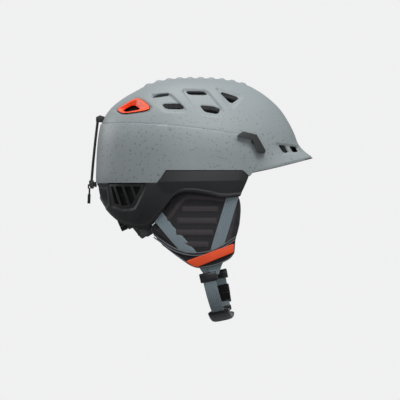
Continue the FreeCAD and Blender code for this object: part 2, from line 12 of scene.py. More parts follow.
import bmesh
import bpy
import numpy as np
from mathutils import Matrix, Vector

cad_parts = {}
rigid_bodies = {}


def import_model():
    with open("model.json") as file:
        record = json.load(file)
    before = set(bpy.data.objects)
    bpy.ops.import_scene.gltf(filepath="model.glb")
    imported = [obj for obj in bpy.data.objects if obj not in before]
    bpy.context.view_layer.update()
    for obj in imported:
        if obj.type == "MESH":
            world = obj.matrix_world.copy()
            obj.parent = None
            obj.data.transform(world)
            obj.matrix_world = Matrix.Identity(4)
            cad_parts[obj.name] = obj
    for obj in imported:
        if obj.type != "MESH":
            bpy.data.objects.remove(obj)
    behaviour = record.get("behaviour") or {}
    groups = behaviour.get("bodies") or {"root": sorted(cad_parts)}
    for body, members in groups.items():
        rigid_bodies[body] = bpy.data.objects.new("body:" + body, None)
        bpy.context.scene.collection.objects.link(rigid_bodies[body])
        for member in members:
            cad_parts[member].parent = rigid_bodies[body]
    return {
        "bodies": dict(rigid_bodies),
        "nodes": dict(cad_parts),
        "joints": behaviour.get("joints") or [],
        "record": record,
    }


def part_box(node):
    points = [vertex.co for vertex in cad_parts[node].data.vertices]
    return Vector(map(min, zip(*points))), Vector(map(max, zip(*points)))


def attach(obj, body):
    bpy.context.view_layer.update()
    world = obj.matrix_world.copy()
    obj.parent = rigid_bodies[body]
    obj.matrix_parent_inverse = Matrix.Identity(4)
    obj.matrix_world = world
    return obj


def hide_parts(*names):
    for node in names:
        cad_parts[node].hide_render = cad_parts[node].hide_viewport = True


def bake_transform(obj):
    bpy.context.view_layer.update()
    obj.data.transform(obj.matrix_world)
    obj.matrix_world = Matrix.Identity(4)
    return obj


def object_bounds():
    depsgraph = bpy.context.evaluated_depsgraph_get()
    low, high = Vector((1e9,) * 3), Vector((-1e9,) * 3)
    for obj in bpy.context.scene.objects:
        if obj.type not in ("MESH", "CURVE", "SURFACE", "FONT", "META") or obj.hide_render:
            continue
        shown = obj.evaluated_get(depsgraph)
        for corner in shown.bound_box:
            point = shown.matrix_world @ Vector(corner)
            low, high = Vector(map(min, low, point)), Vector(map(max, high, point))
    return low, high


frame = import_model()
CAD_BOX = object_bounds()
LOG = logging.getLogger("helmet")
MM = 0.001
Outline = Sequence[tuple[float, float]]
Array = np.ndarray
Colour = tuple[float, float, float]
Place = Callable[[Array, Array], Array]
Socket = bpy.types.NodeSocket


class Side(Enum):
    """The wearer's side: the value is the sign of Y."""

    RIGHT = -1
    LEFT = 1

    @property
    def word(self) -> str:
        """The side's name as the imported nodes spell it."""
        return self.name.lower()


# Shader groups and finishes


class Tree:
    """A node tree that is being built, with short ways to add and join nodes."""

    def __init__(self, tree: bpy.types.NodeTree) -> None:
        """Starts on an empty tree."""
        self.tree = tree

    def node(self, kind: str, **settings: object) -> bpy.types.Node:
        """Adds a node.

        Args:
            kind: The node's type, without its "ShaderNode" prefix.
            settings: Attributes of the node; a name that starts with "in_" sets that input instead.

        Returns:
            The node.
        """
        made = self.tree.nodes.new("ShaderNode" + kind)
        for name, value in settings.items():
            if not name.startswith("in_"):
                setattr(made, name, value)
        for name, value in settings.items():
            if name.startswith("in_"):
                self.feed(made, name[3:].replace("_", " "), value)
        return made

    def feed(self, node: bpy.types.Node, name: str, value: object) -> None:
        """Sets or links an input.

        Args:
            node: The node that has it.
            name: The input's name or number.
            value: A socket to link, or the value to set.
        """
        socket = node.inputs[int(name)] if name.isdigit() else node.inputs[name]
        if isinstance(value, Socket):
            self.tree.links.new(value, socket)
        else:
            socket.default_value = value

    def math(self, operation: str, a: object, b: object = 0.0, c: object = 0.0) -> Socket:
        """A Math node's result."""
        return self.node("Math", operation=operation, in_0=a, in_1=b, in_2=c).outputs[0]

    def ramp(
        self, value: object, low: float, high: float, out_low: float = 0.0, out_high: float = 1.0
    ) -> Socket:
        """A smooth Map Range.

        Args:
            value: What is mapped.
            low: Where its span starts.
            high: Where its span ends.
            out_low: The result at the start.
            out_high: The result at the end.

        Returns:
            The result's socket.
        """
        made = self.node("MapRange", interpolation_type="SMOOTHSTEP", in_0=value)
        for number, setting in enumerate((low, high, out_low, out_high), start=1):
            made.inputs[number].default_value = setting
        return made.outputs[0]

    def mix(self, share: object, a: object, b: object) -> Socket:
        """A mix of two colours.

        Args:
            share: How much of the second it has.
            a: The first colour.
            b: The second colour.

        Returns:
            The mixed colour's socket.
        """
        made = self.node("Mix", data_type="RGBA")
        self.feed(made, "0", share)
        self.feed(made, "6", a)
        self.feed(made, "7", b)
        return made.outputs[2]


class Effect(Enum):
    """The shader groups that several finishes share."""

    GRAIN = "fine grain"
    FLECKS = "flecks"
    WEAVE = "flat weave"
    KNIT = "mesh knit"
    BEADS = "foam beads"
    DUST = "handling marks"


EFFECT_SOCKETS = {
    Effect.GRAIN: (("Scale",), ("Height",)),
    Effect.FLECKS: (("Scale", "Share", "Size"), ("Mask",)),
    Effect.WEAVE: (("Across", "Along"), ("Height", "Shade")),
    Effect.KNIT: (("Scale",), ("Height", "Hole")),
    Effect.BEADS: (("Scale",), ("Height", "Shade")),
    Effect.DUST: (("Scale",), ("Mask",)),
}


def build_grain(t: Tree, i: bpy.types.Node, o: bpy.types.Node) -> None:
    """Moulded grain: fine noise over a coarser one.

    Args:
        t: The group's tree.
        i: Its input node.
        o: Its output node.
    """
    place = t.node("TexCoord").outputs["Object"]
    fine = t.node("TexNoise", in_Vector=place, in_Scale=i.outputs["Scale"], in_Detail=3.0).outputs[0]
    wide = t.math("MULTIPLY", i.outputs["Scale"], 0.21)
    broad = t.node("TexNoise", in_Vector=place, in_Scale=wide, in_Detail=2.0).outputs[0]
    t.feed(o, "Height", t.math("ADD", t.math("MULTIPLY", fine, 0.7), t.math("MULTIPLY", broad, 0.3)))


def build_flecks(t: Tree, i: bpy.types.Node, o: bpy.types.Node) -> None:
    """Scattered irregular specks: a share of the cells each holds one.

    Args:
        t: The group's tree.
        i: Its input node.
        o: Its output node.
    """
    place = t.node("TexCoord").outputs["Object"]
    warp = t.node("TexNoise", in_Vector=place, in_Scale=700.0, in_Detail=1.0).outputs["Color"]
    shift = t.node("VectorMath", operation="MULTIPLY_ADD", in_0=warp)
    shift.inputs[1].default_value = (0.0016, 0.0016, 0.0016)
    t.feed(shift, "2", place)
    cell = t.node("TexVoronoi", in_Vector=shift.outputs[0], in_Scale=i.outputs["Scale"], in_Randomness=1.0)
    parts = t.node("SeparateColor", in_0=cell.outputs["Color"])
    kept = t.math("LESS_THAN", parts.outputs[0], i.outputs["Share"])
    radius = t.math("MULTIPLY", t.math("ADD", parts.outputs[1], 0.25), i.outputs["Size"])
    inside = t.math("LESS_THAN", cell.outputs["Distance"], radius)
    t.feed(o, "Mask", t.math("MULTIPLY", kept, inside))


def build_weave(t: Tree, i: bpy.types.Node, o: bpy.types.Node) -> None:
    """Woven webbing: slanting ribs of yarn along the piece's own UV map, which is in metres.

    Args:
        t: The group's tree.
        i: Its input node.
        o: Its output node.
    """
    place = t.node("SeparateXYZ", in_0=t.node("TexCoord").outputs["UV"])
    across = t.math("MULTIPLY", place.outputs[0], i.outputs["Across"])
    along = t.math("MULTIPLY", place.outputs[1], i.outputs["Along"])
    side = t.math("PINGPONG", across, 1.0)
    slant = t.math("ADD", along, t.math("MULTIPLY", side, 0.55))
    rib = t.math("PINGPONG", slant, 0.5)
    yarn = t.math("MULTIPLY", t.ramp(rib, 0.05, 0.4), t.ramp(t.math("PINGPONG", across, 0.5), 0.03, 0.22))
    t.feed(o, "Height", yarn)
    fray = t.node("TexNoise", in_Vector=t.node("TexCoord").outputs["Object"], in_Scale=900.0).outputs[0]
    t.feed(o, "Shade", t.math("ADD", t.math("MULTIPLY", yarn, 0.7), t.math("MULTIPLY", fray, 0.3)))


def build_knit(t: Tree, i: bpy.types.Node, o: bpy.types.Node) -> None:
    """A spacer mesh: rows of small holes, every other row shifted by half a step.

    Args:
        t: The group's tree.
        i: Its input node.
        o: Its output node.
    """
    place = t.node("SeparateXYZ", in_0=t.node("TexCoord").outputs["Object"])
    x = t.math("MULTIPLY", place.outputs[0], i.outputs["Scale"])
    z = t.math("MULTIPLY", place.outputs[2], i.outputs["Scale"])
    row = t.math("FLOOR", z)
    shifted = t.math("ADD", x, t.math("MULTIPLY", row, 0.5))
    dx = t.math("SUBTRACT", t.math("FRACT", shifted), 0.5)
    dz = t.math("SUBTRACT", t.math("FRACT", z), 0.5)
    far = t.math("SQRT", t.math("ADD", t.math("MULTIPLY", dx, dx), t.math("MULTIPLY", dz, dz)))
    t.feed(o, "Hole", t.ramp(far, 0.22, 0.36, 1.0, 0.0))
    t.feed(o, "Height", t.ramp(far, 0.2, 0.5))


def build_beads(t: Tree, i: bpy.types.Node, o: bpy.types.Node) -> None:
    """Fused foam beads with a slightly different tone each.

    Args:
        t: The group's tree.
        i: Its input node.
        o: Its output node.
    """
    place = t.node("TexCoord").outputs["Object"]
    cell = t.node("TexVoronoi", in_Vector=place, in_Scale=i.outputs["Scale"], in_Randomness=0.85)
    t.feed(o, "Height", t.ramp(cell.outputs["Distance"], 0.1, 0.75, 1.0, 0.0))
    t.feed(o, "Shade", t.node("SeparateColor", in_0=cell.outputs["Color"]).outputs[0])


def build_dust(t: Tree, i: bpy.types.Node, o: bpy.types.Node) -> None:
    """Soft cloudy patches, for small changes of tone and gloss.

    Args:
        t: The group's tree.
        i: Its input node.
        o: Its output node.
    """
    place = t.node("TexCoord").outputs["Object"]
    cloud = t.node("TexNoise", in_Vector=place, in_Scale=i.outputs["Scale"], in_Detail=4.0).outputs[0]
    t.feed(o, "Mask", t.ramp(cloud, 0.35, 0.7))


EFFECT_BUILDERS: dict[Effect, Callable[[Tree, bpy.types.Node, bpy.types.Node], None]] = {
    Effect.GRAIN: build_grain,
    Effect.FLECKS: build_flecks,
    Effect.WEAVE: build_weave,
    Effect.KNIT: build_knit,
    Effect.BEADS: build_beads,
    Effect.DUST: build_dust,
}


def effect_group(effect: Effect) -> bpy.types.NodeTree:
    """The shader group of an effect, built the first time it is asked for.

    Args:
        effect: The effect.

    Returns:
        Its group.
    """
    made = bpy.data.node_groups.get(effect.value)
    if made:
        return made
    made = bpy.data.node_groups.new(effect.value, "ShaderNodeTree")
    given, got = EFFECT_SOCKETS[effect]
    for name in given:
        made.interface.new_socket(name=name, in_out="INPUT", socket_type="NodeSocketFloat")
    for name in got:
        made.interface.new_socket(name=name, in_out="OUTPUT", socket_type="NodeSocketFloat")
    start, end = made.nodes.new("NodeGroupInput"), made.nodes.new("NodeGroupOutput")
    EFFECT_BUILDERS[effect](Tree(made), start, end)
    return made


@dataclass(frozen=True)
class Finish:
    """What every finish has: a name, the record's slot, a colour and a gloss."""

    name: str
    slot: str
    colour: Colour
    roughness: float
    specular: float = 0.5

    def material(self) -> bpy.types.Material:
        """The finish's material, built the first time it is asked for.

        Returns:
            The material.
        """
        made = bpy.data.materials.get(self.name)
        if made:
            return made
        made = bpy.data.materials.new(self.name)
        made.use_nodes = True
        made.node_tree.nodes.clear()
        tree = Tree(made.node_tree)
        shader = tree.node("BsdfPrincipled")
        shader.inputs["Specular IOR Level"].default_value = self.specular
        shader.inputs["Roughness"].default_value = self.roughness
        tree.node("OutputMaterial", in_Surface=shader.outputs[0])
        self.dress(tree, shader)
        return made

    def dress(self, tree: Tree, shader: bpy.types.Node) -> None:
        """Feeds the shader's inputs; every finish has its own way."""
        raise NotImplementedError

    def effect(self, tree: Tree, effect: Effect, **values: float) -> bpy.types.Node:
        """Places a shared effect with this finish's own values.

        Args:
            tree: The material's tree.
            effect: The effect.
            values: The group's inputs by name.

        Returns:
            The group's node.
        """
        made = tree.node("Group", node_tree=effect_group(effect))
        for name, value in values.items():
            made.inputs[name].default_value = value
        return made

    def shades(self, low: float, high: float) -> tuple[tuple[float, ...], tuple[float, ...]]:
        """The colour made darker and lighter.

        Args:
            low: What the darker one is multiplied by.
            high: What the lighter one is multiplied by.

        Returns:
            Both colours, with a full alpha.
        """
        darker = tuple(c * low for c in self.colour)
        lighter = tuple(min(1.0, c * high) for c in self.colour)
        return (*darker, 1.0), (*lighter, 1.0)

    def bump(
        self, tree: Tree, shader: bpy.types.Node, height: object, strength: float, depth: float
    ) -> None:
        """Bends the shader's normal by a height.

        Args:
            tree: The material's tree.
            shader: The shader.
            height: The height's socket.
            strength: How strongly it bends.
            depth: The height of the pattern, in metres.
        """
        made = tree.node("Bump", in_Strength=strength, in_Distance=depth, in_Height=height)
        tree.feed(shader, "Normal", made.outputs[0])


@dataclass(frozen=True)
class MouldedPlastic(Finish):
    """Moulded plastic with a grain and faint handling marks."""

    grain: float = 1500.0
    grain_depth: float = 0.00006
    marks: float = 0.12

    def dress(self, tree: Tree, shader: bpy.types.Node) -> None:
        """Feeds colour, roughness and normal.

        Args:
            tree: The material's tree.
            shader: The shader.
        """
        cloud = self.effect(tree, Effect.DUST, Scale=22.0).outputs["Mask"]
        low, high = self.shades(1.0 - self.marks, 1.0 + self.marks)
        tree.feed(shader, "Base Color", tree.mix(cloud, low, high))
        gloss = tree.ramp(cloud, 0.0, 1.0, self.roughness - 0.04, self.roughness + 0.05)
        tree.feed(shader, "Roughness", gloss)
        grain = self.effect(tree, Effect.GRAIN, Scale=self.grain)
        self.bump(tree, shader, grain.outputs["Height"], 0.5, self.grain_depth)


@dataclass(frozen=True)
class FleckedShell(Finish):
    """The coloured hard shell: satin, with dark flecks that thin out towards the crown."""

    fleck: tuple[float, float, float, float] = (0.035, 0.038, 0.04, 1.0)

    def dress(self, tree: Tree, shader: bpy.types.Node) -> None:
        """Feeds colour, roughness and normal.

        Args:
            tree: The material's tree.
            shader: The shader.
        """
        cloud = self.effect(tree, Effect.DUST, Scale=9.0).outputs["Mask"]
        low, high = self.shades(0.955, 1.04)
        paint = tree.mix(cloud, low, high)
        small = self.effect(tree, Effect.FLECKS, Scale=270.0, Share=0.75, Size=0.3).outputs["Mask"]
        large = self.effect(tree, Effect.FLECKS, Scale=140.0, Share=0.6, Size=0.2).outputs["Mask"]
        height = tree.node("SeparateXYZ", in_0=tree.node("TexCoord").outputs["Object"]).outputs[2]
        fewer = tree.ramp(height, 0.035, 0.075, 0.34, 0.08)
        specks = tree.math("MULTIPLY", tree.math("MAXIMUM", small, large), fewer)
        tree.feed(shader, "Base Color", tree.mix(specks, paint, self.fleck))
        gloss = tree.ramp(cloud, 0.0, 1.0, self.roughness - 0.04, self.roughness + 0.04)
        tree.feed(shader, "Roughness", gloss)
        grain = self.effect(tree, Effect.GRAIN, Scale=1300.0)
        self.bump(tree, shader, grain.outputs["Height"], 0.35, 0.00005)


@dataclass(frozen=True)
class BeadFoam(Finish):
    """Expanded foam with its beads showing."""

    def dress(self, tree: Tree, shader: bpy.types.Node) -> None:
        """Feeds colour and normal.

        Args:
            tree: The material's tree.
            shader: The shader.
        """
        beads = self.effect(tree, Effect.BEADS, Scale=330.0)
        low, high = self.shades(0.7, 1.5)
        tree.feed(shader, "Base Color", tree.mix(beads.outputs["Shade"], low, high))
        self.bump(tree, shader, beads.outputs["Height"], 0.6, 0.0003)


@dataclass(frozen=True)
class MeshKnit(Finish):
    """Open spacer mesh over padding."""

    pitch: float = 0.0022
    sheen: float = 0.25
    film: tuple[float, float, float, float] = (0.05, 0.043, 0.046, 1.0)

    def dress(self, tree: Tree, shader: bpy.types.Node) -> None:
        """Feeds colour and normal, with a soft sheen.

        Args:
            tree: The material's tree.
            shader: The shader.
        """
        shader.inputs["Sheen Weight"].default_value = self.sheen
        shader.inputs["Sheen Roughness"].default_value = 0.45
        knit = self.effect(tree, Effect.KNIT, Scale=1.0 / self.pitch)
        low, high = self.shades(0.3, 1.25)
        cloud = self.effect(tree, Effect.DUST, Scale=40.0).outputs["Mask"]
        fuzz = tree.math("MULTIPLY", knit.outputs["Hole"], tree.ramp(cloud, 0.0, 1.0, 0.75, 1.0))
        welded = tree.node("Attribute", attribute_name="weld").outputs["Fac"]
        mesh = tree.mix(fuzz, high, low)
        tree.feed(shader, "Base Color", tree.mix(welded, mesh, self.film))
        open_mesh = tree.math("MULTIPLY", knit.outputs["Height"], tree.math("SUBTRACT", 1.0, welded))
        self.bump(tree, shader, open_mesh, 0.8, 0.0004)


@dataclass(frozen=True)
class SoftCloth(Finish):
    """Brushed or close-knit cloth."""

    scale: float = 1400.0
    sheen: float = 0.35

    def dress(self, tree: Tree, shader: bpy.types.Node) -> None:
        """Feeds colour and normal, with a soft sheen.

        Args:
            tree: The material's tree.
            shader: The shader.
        """
        shader.inputs["Sheen Weight"].default_value = self.sheen
        shader.inputs["Sheen Roughness"].default_value = 0.5
        fuzz = self.effect(tree, Effect.GRAIN, Scale=self.scale).outputs["Height"]
        cloud = self.effect(tree, Effect.DUST, Scale=35.0).outputs["Mask"]
        low, high = self.shades(0.75, 1.3)
        tree.feed(shader, "Base Color", tree.mix(tree.math("MULTIPLY", fuzz, cloud), low, high))
        self.bump(tree, shader, fuzz, 0.7, 0.0003)


@dataclass(frozen=True)
class WovenWebbing(Finish):
    """Flat woven tape, with ribs across it."""

    across: float = 330.0
    along: float = 620.0

    def dress(self, tree: Tree, shader: bpy.types.Node) -> None:
        """Feeds colour and normal, with a soft sheen.

        Args:
            tree: The material's tree.
            shader: The shader.
        """
        shader.inputs["Sheen Weight"].default_value = 0.3
        shader.inputs["Sheen Roughness"].default_value = 0.4
        weave = self.effect(tree, Effect.WEAVE, Across=self.across, Along=self.along)
        low, high = self.shades(0.62, 1.3)
        tree.feed(shader, "Base Color", tree.mix(weave.outputs["Shade"], low, high))
        self.bump(tree, shader, weave.outputs["Height"], 0.9, 0.00035)


@dataclass(frozen=True)
class PlatedSteel(Finish):
    """Plated metal with a fine grain."""

    def dress(self, tree: Tree, shader: bpy.types.Node) -> None:
        """Makes it metal, and feeds colour and normal.

        Args:
            tree: The material's tree.
            shader: The shader.
        """
        shader.inputs["Metallic"].default_value = 1.0
        grain = self.effect(tree, Effect.GRAIN, Scale=2600.0).outputs["Height"]
        low, high = self.shades(0.85, 1.1)
        tree.feed(shader, "Base Color", tree.mix(grain, low, high))
        self.bump(tree, shader, grain, 0.3, 0.00003)


SHELL = FleckedShell("flecked grey shell", "shell_grey", (0.235, 0.262, 0.266), 0.5, 0.4)
LOWER = MouldedPlastic("black lower shell", "shell_black", (0.017, 0.017, 0.018), 0.55, 0.4, grain=1100.0)
FOAM = BeadFoam("black liner foam", "liner_foam", (0.016, 0.016, 0.017), 0.85, 0.2)
LINING = SoftCloth("lining knit", "lining_fabric", (0.036, 0.036, 0.038), 0.9, 0.2)
CRADLE = MouldedPlastic("cradle plastic", "cradle_plastic", (0.045, 0.045, 0.047), 0.45)
BUCKLE = MouldedPlastic(
    "glossy buckle plastic", "buckle_plastic", (0.012, 0.012, 0.013), 0.26, grain_depth=0.00002
)
CLIP = MouldedPlastic("grained clip plastic", "clip_plastic", (0.014, 0.014, 0.0145), 0.5)
ELASTIC = WovenWebbing("elastic cord", "elastic_cord", (0.014, 0.014, 0.015), 0.8, across=900.0, along=900.0)
WEBBING = WovenWebbing("blue grey webbing", "webbing", (0.2, 0.255, 0.28), 0.7, across=420.0, along=760.0)
CHIN = SoftCloth("chin fleece", "chin_fabric", (0.016, 0.016, 0.017), 0.95, 0.15, scale=900.0)
STEEL = PlatedSteel("plated steel", "magnet_steel", (0.6, 0.6, 0.62), 0.3)
ACCENT = MouldedPlastic("orange plastic", "accent_plastic", (0.83, 0.085, 0.022), 0.42, grain_depth=0.00003)
EAR_MESH = MeshKnit("ear pad mesh", "ear_fabric", (0.024, 0.023, 0.025), 0.85, 0.25)
EAR_RIM = SoftCloth("ear pad binding cloth", "ear_lip_fabric", (0.013, 0.013, 0.014), 0.9, 0.2)
PIPING = SoftCloth("grey piping", "webbing", (0.13, 0.14, 0.145), 0.8, 0.3, sheen=0.2)
LABEL = MouldedPlastic("orange rubber label", "label_rubber", (0.95, 0.1, 0.03), 0.5, 0.35)
THREAD = SoftCloth("dark thread", "ear_lip_fabric", (0.03, 0.025, 0.024), 0.7, 0.3)


# Shapes

SETTLING_PASSES = 24


def smoothstep(value: Array, low: float, high: float) -> Array:
    """0 below low, 1 above high, and a smooth rise between.

    Args:
        value: The values.
        low: Where the rise starts.
        high: Where it ends.

    Returns:
        One share for each value.
    """
    t = np.clip((value - low) / (high - low), 0.0, 1.0)
    return t * t * (3 - 2 * t)


def depth_inside(x: Array, z: Array, outline: Outline) -> Array:
    """Distance from each point to an outline, positive inside it.

    Args:
        x: First coordinates, in millimetres.
        z: Second coordinates, in millimetres.
        outline: The outline's corners.

    Returns:
        One signed distance for each point.
    """
    nearest = np.full(x.shape, 1e9)
    inside = np.zeros(x.shape, dtype=bool)
    for (x0, z0), (x1, z1) in zip(outline, [*outline[1:], outline[0]]):
        ex, ez = x1 - x0, z1 - z0
        t = np.clip(((x - x0) * ex + (z - z0) * ez) / (ex * ex + ez * ez), 0.0, 1.0)
        nearest = np.minimum(nearest, np.hypot(x - x0 - t * ex, z - z0 - t * ez))
        crosses = (z0 > z) != (z1 > z)
        with np.errstate(divide="ignore", invalid="ignore"):
            inside ^= crosses & (x < x0 + (z - z0) * ex / (ez if ez else 1e-9))
    return np.where(inside, nearest, -nearest)


def distance_to(x: Array, z: Array, line: Outline) -> Array:
    """How far points lie from an open line of straight runs.

    Args:
        x: First coordinates.
        z: Second coordinates.
        line: The line's corners.

    Returns:
        One distance for each point.
    """
    nearest = np.full(np.shape(x), np.inf)
    for (x0, z0), (x1, z1) in zip(line, line[1:]):
        dx, dz = x1 - x0, z1 - z0
        share = np.clip(((x - x0) * dx + (z - z0) * dz) / (dx * dx + dz * dz), 0, 1)
        nearest = np.minimum(nearest, np.hypot(x - x0 - share * dx, z - z0 - share * dz))
    return nearest


def rounded(
    outline: Outline, rounds: int = 1, share: float = 0.25, closed: bool = True
) -> list[tuple[float, float]]:
    """An outline with its corners cut off.

    Args:
        outline: The outline's corners.
        rounds: How many times they are cut.
        share: How much of an edge each cut takes.
        closed: Whether the last corner joins the first.

    Returns:
        The new corners.
    """
    points = list(outline)
    for _ in range(rounds):
        cut = []
        pairs = list(zip(points, [*points[1:], points[0]] if closed else points[1:]))
        for (x0, z0), (x1, z1) in pairs:
            cut.append((x0 + (x1 - x0) * share, z0 + (z1 - z0) * share))
            cut.append((x1 + (x0 - x1) * share, z1 + (z0 - z1) * share))
        points = cut if closed else [points[0], *cut[1:-1], points[-1]]
    return points


@dataclass(frozen=True)
class Dome:
    """The helmet's outer form in millimetres: level rings, each a share of the front, rear and side reach."""

    crown: float = 110.0
    centre_x: float = 15.0
    front: float = 141.0
    rear: float = 122.5
    half_width: float = 107.0
    exponent: float = 2.2
    datum: float = -20.0
    levels: ClassVar[tuple[tuple[float, float, float, float], ...]] = (
        (-90.0, 0.97, 0.80, 0.80),
        (-70.0, 0.98, 0.880, 0.865),
        (-50.0, 0.99, 0.955, 0.925),
        (-25.0, 1.00, 1.000, 0.975),
        (0.0, 1.000, 1.000, 1.000),
        (22.0, 0.955, 0.990, 0.998),
        (42.0, 0.905, 0.965, 0.955),
        (58.0, 0.845, 0.925, 0.885),
        (72.0, 0.775, 0.845, 0.800),
        (84.0, 0.685, 0.725, 0.700),
        (94.0, 0.585, 0.585, 0.585),
        (102.0, 0.470, 0.455, 0.450),
        (107.0, 0.330, 0.315, 0.310),
        (109.5, 0.160, 0.155, 0.150),
        (110.0, 0.0, 0.0, 0.0),
    )

    def shares(self, height: Array) -> Array:
        """The front, rear and side shares at each height.

        Args:
            height: The heights.

        Returns:
            Three rows, with one value for each height.
        """
        table = np.array(self.levels)
        known = table[:, 0]
        h = np.clip(height, known[0], known[-1])
        i = np.clip(np.searchsorted(known, h) - 1, 0, len(known) - 2)
        span = known[i + 1] - known[i]
        t = (h - known[i]) / span
        found = []
        for column in range(1, 4):
            square = table[:, column] ** 2
            slope = np.gradient(square, known)
            value = (
                (2 * t**3 - 3 * t**2 + 1) * square[i]
                + (t**3 - 2 * t**2 + t) * span * slope[i]
                + (3 * t**2 - 2 * t**3) * square[i + 1]
                + (t**3 - t**2) * span * slope[i + 1]
            )
            found.append(np.sqrt(np.maximum(value, 0.0)))
        return np.array(found)

    def at(self, angle: Array, height: Array, inset: Array | float = 0.0) -> Array:
        """Points on the form, moved in by inset.

        Args:
            angle: Radians from straight ahead, positive to the wearer's left.
            height: The level's height before it is lowered by the inset.
            inset: How far in from the outer form.

        Returns:
            One X, Y, Z row for each point, in millimetres.
        """
        front, rear, side = self.shares(height)
        c, s = np.cos(angle), np.sin(angle)
        power = 2 / self.exponent
        reach = np.where(c > 0, (self.front - inset) * front, (self.rear - inset) * rear)
        x = self.centre_x + np.sign(c) * np.abs(c) ** power * reach
        y = np.sign(s) * np.abs(s) ** power * (self.half_width - inset) * side
        rise = self.crown - self.datum
        lowered = self.datum + (height - self.datum) * (rise - inset) / rise
        return np.stack([x, y, np.where(height > self.datum, lowered, height)], axis=-1)

    def angle(self, x: Array, height: Array) -> Array:
        """The angle where the form reaches an X at a height.

        Args:
            x: The X values.
            height: The heights.

        Returns:
            Angles from 0 to half a turn.
        """
        x, height = np.asarray(x, float), np.asarray(height, float)
        front, rear, _ = self.shares(height)
        reach = np.where(x > self.centre_x, self.front * front, self.rear * rear)
        share = np.clip(np.abs(x - self.centre_x) / reach, 0.0, 1.0) ** (self.exponent / 2)
        return np.arccos(np.sign(x - self.centre_x) * share)

    def height_on(self, angle: Array, outline: Outline) -> Array:
        """The height where each angle's line down the form meets an outline.

        Args:
            angle: The angles.
            outline: Corners as X, Z, with Z found from X.

        Returns:
            One height for each angle.
        """
        xs = np.array([p[0] for p in outline])
        zs = np.array([p[1] for p in outline])
        order = np.argsort(xs)
        height = np.full(np.shape(angle), self.datum)
        for _ in range(SETTLING_PASSES):
            x = self.at(angle, height)[..., 0]
            height = 0.5 * height + 0.5 * np.interp(x, xs[order], zs[order])
        return height


DOME = Dome()
AXIS_X = DOME.centre_x * MM

# Outlines as X, Z, in millimetres

HEM = [(-140.0, -22.5), (-28.7, -22.5), (-18.2, -7.0), (77.3, -7.0), (85.3, -14.7), (88.7, -9.5)]
RIDGE = [(92.0, -20.0), (-30.0, -22.0), (-52.5, -66.0)]
LOWER_EDGE = [
    (74, -40), (52, -42.5), (38, -38.5), (8, -34), (-6, -37.5), (-14, -45.5), (-25, -60), (-39, -77),
    (-46, -80), (-61, -78.8), (-72, -75.3), (-82, -69.5), (-91, -61.5), (-100, -50), (-116, -27),
]  # fmt: skip
REAR_WINDOW = [(-89, -26.5), (-47.5, -26.5), (-51.5, -36), (-60, -52), (-74, -53.5), (-85, -49.5)]
SIDE_VENTS = (
    [(-35.5, 84.0), (-28, 87.6), (-15.5, 88.4), (-15.5, 86.2), (-27.5, 84.6)],
    [(-24, 75.5), (-3, 76.2), (3.8, 70.5), (2.5, 68.5), (-18.5, 69)],
    [(6.5, 91.5), (28, 91.5), (33, 87), (10.5, 87.4)],
    [(23.5, 74), (41, 72.6), (49.5, 68.8), (46.5, 62.5), (30, 65.2)],
    [(48, 91.5), (74, 84), (63, 75.5)],
)
VENT_PANELS = (
    [(-40, 88), (-14, 90), (8, 68), (3, 63), (-22, 65)],
    [(-1, 95), (32, 95), (55, 66), (50, 58), (25, 60)],
    [(42, 98), (80, 86), (65, 69), (58, 74)],
)
ACCENT_VENT = [
    (-82, 69), (-72, 75), (-58, 83), (-53, 83), (-44.5, 77.5), (-38, 71), (-40.5, 67.5), (-72, 63.5),
]  # fmt: skip
ACCENT_MIDDLE = (-60.5, 70.6)
ACCENT_HOLE = [(-71.5, 67.8), (-59.5, 74.5), (-51, 69.2), (-68, 66.2)]
BROW_SLOTS = (
    [(121.5, 24.3), (131.5, 23.6), (136, 15.0), (128.3, 14.4)],
    [(136, 23.2), (145.7, 22.4), (149.6, 16.4), (140.5, 15.4)],
)
BROW_SCOOP = [(117, 28), (148, 25), (154, 14), (124, 11)]
REAR_FACET = [(-112, -24), (-92, -24), (-90, -50), (-96, -58), (-114, -40)]


# Meshes


def move_points(bm: bmesh.types.BMesh, points: Array) -> None:
    """Puts every point of a mesh at a new place, given in millimetres."""
    for v, point in zip(bm.verts, points * MM):
        v.co = point


def flat_points(bm: bmesh.types.BMesh) -> Array:
    """The points of a mesh, in millimetres."""
    return np.array([v.co for v in bm.verts]) / MM


def grid(columns: int, rows: int, place: Place) -> bmesh.types.BMesh:
    """A sheet of quads bent to a form.

    Args:
        columns: Steps along the first direction.
        rows: Steps along the second direction.
        place: Gives the points in millimetres for two arrays that run from 0 to 1.

    Returns:
        The sheet, in metres, with a UV map of the two directions.
    """
    bm = bmesh.new()
    bmesh.ops.create_grid(bm, x_segments=columns, y_segments=rows, size=0.5, calc_uvs=False)
    bm.verts.ensure_lookup_table()
    flat = np.clip(np.array([v.co[:2] for v in bm.verts]) + 0.5, 0.0, 1.0)
    uv = bm.loops.layers.uv.new("UVMap")
    for face in bm.faces:
        for loop in face.loops:
            loop[uv].uv = flat[loop.vert.index]
    move_points(bm, place(flat[:, 0], flat[:, 1]))
    return bm


def weld(bm: bmesh.types.BMesh, distance: float = 1e-6) -> None:
    """Merges points that lie together."""
    bmesh.ops.remove_doubles(bm, verts=bm.verts, dist=distance)


def face_outwards(bm: bmesh.types.BMesh) -> None:
    """Turns every face outwards."""
    bmesh.ops.recalc_face_normals(bm, faces=bm.faces)


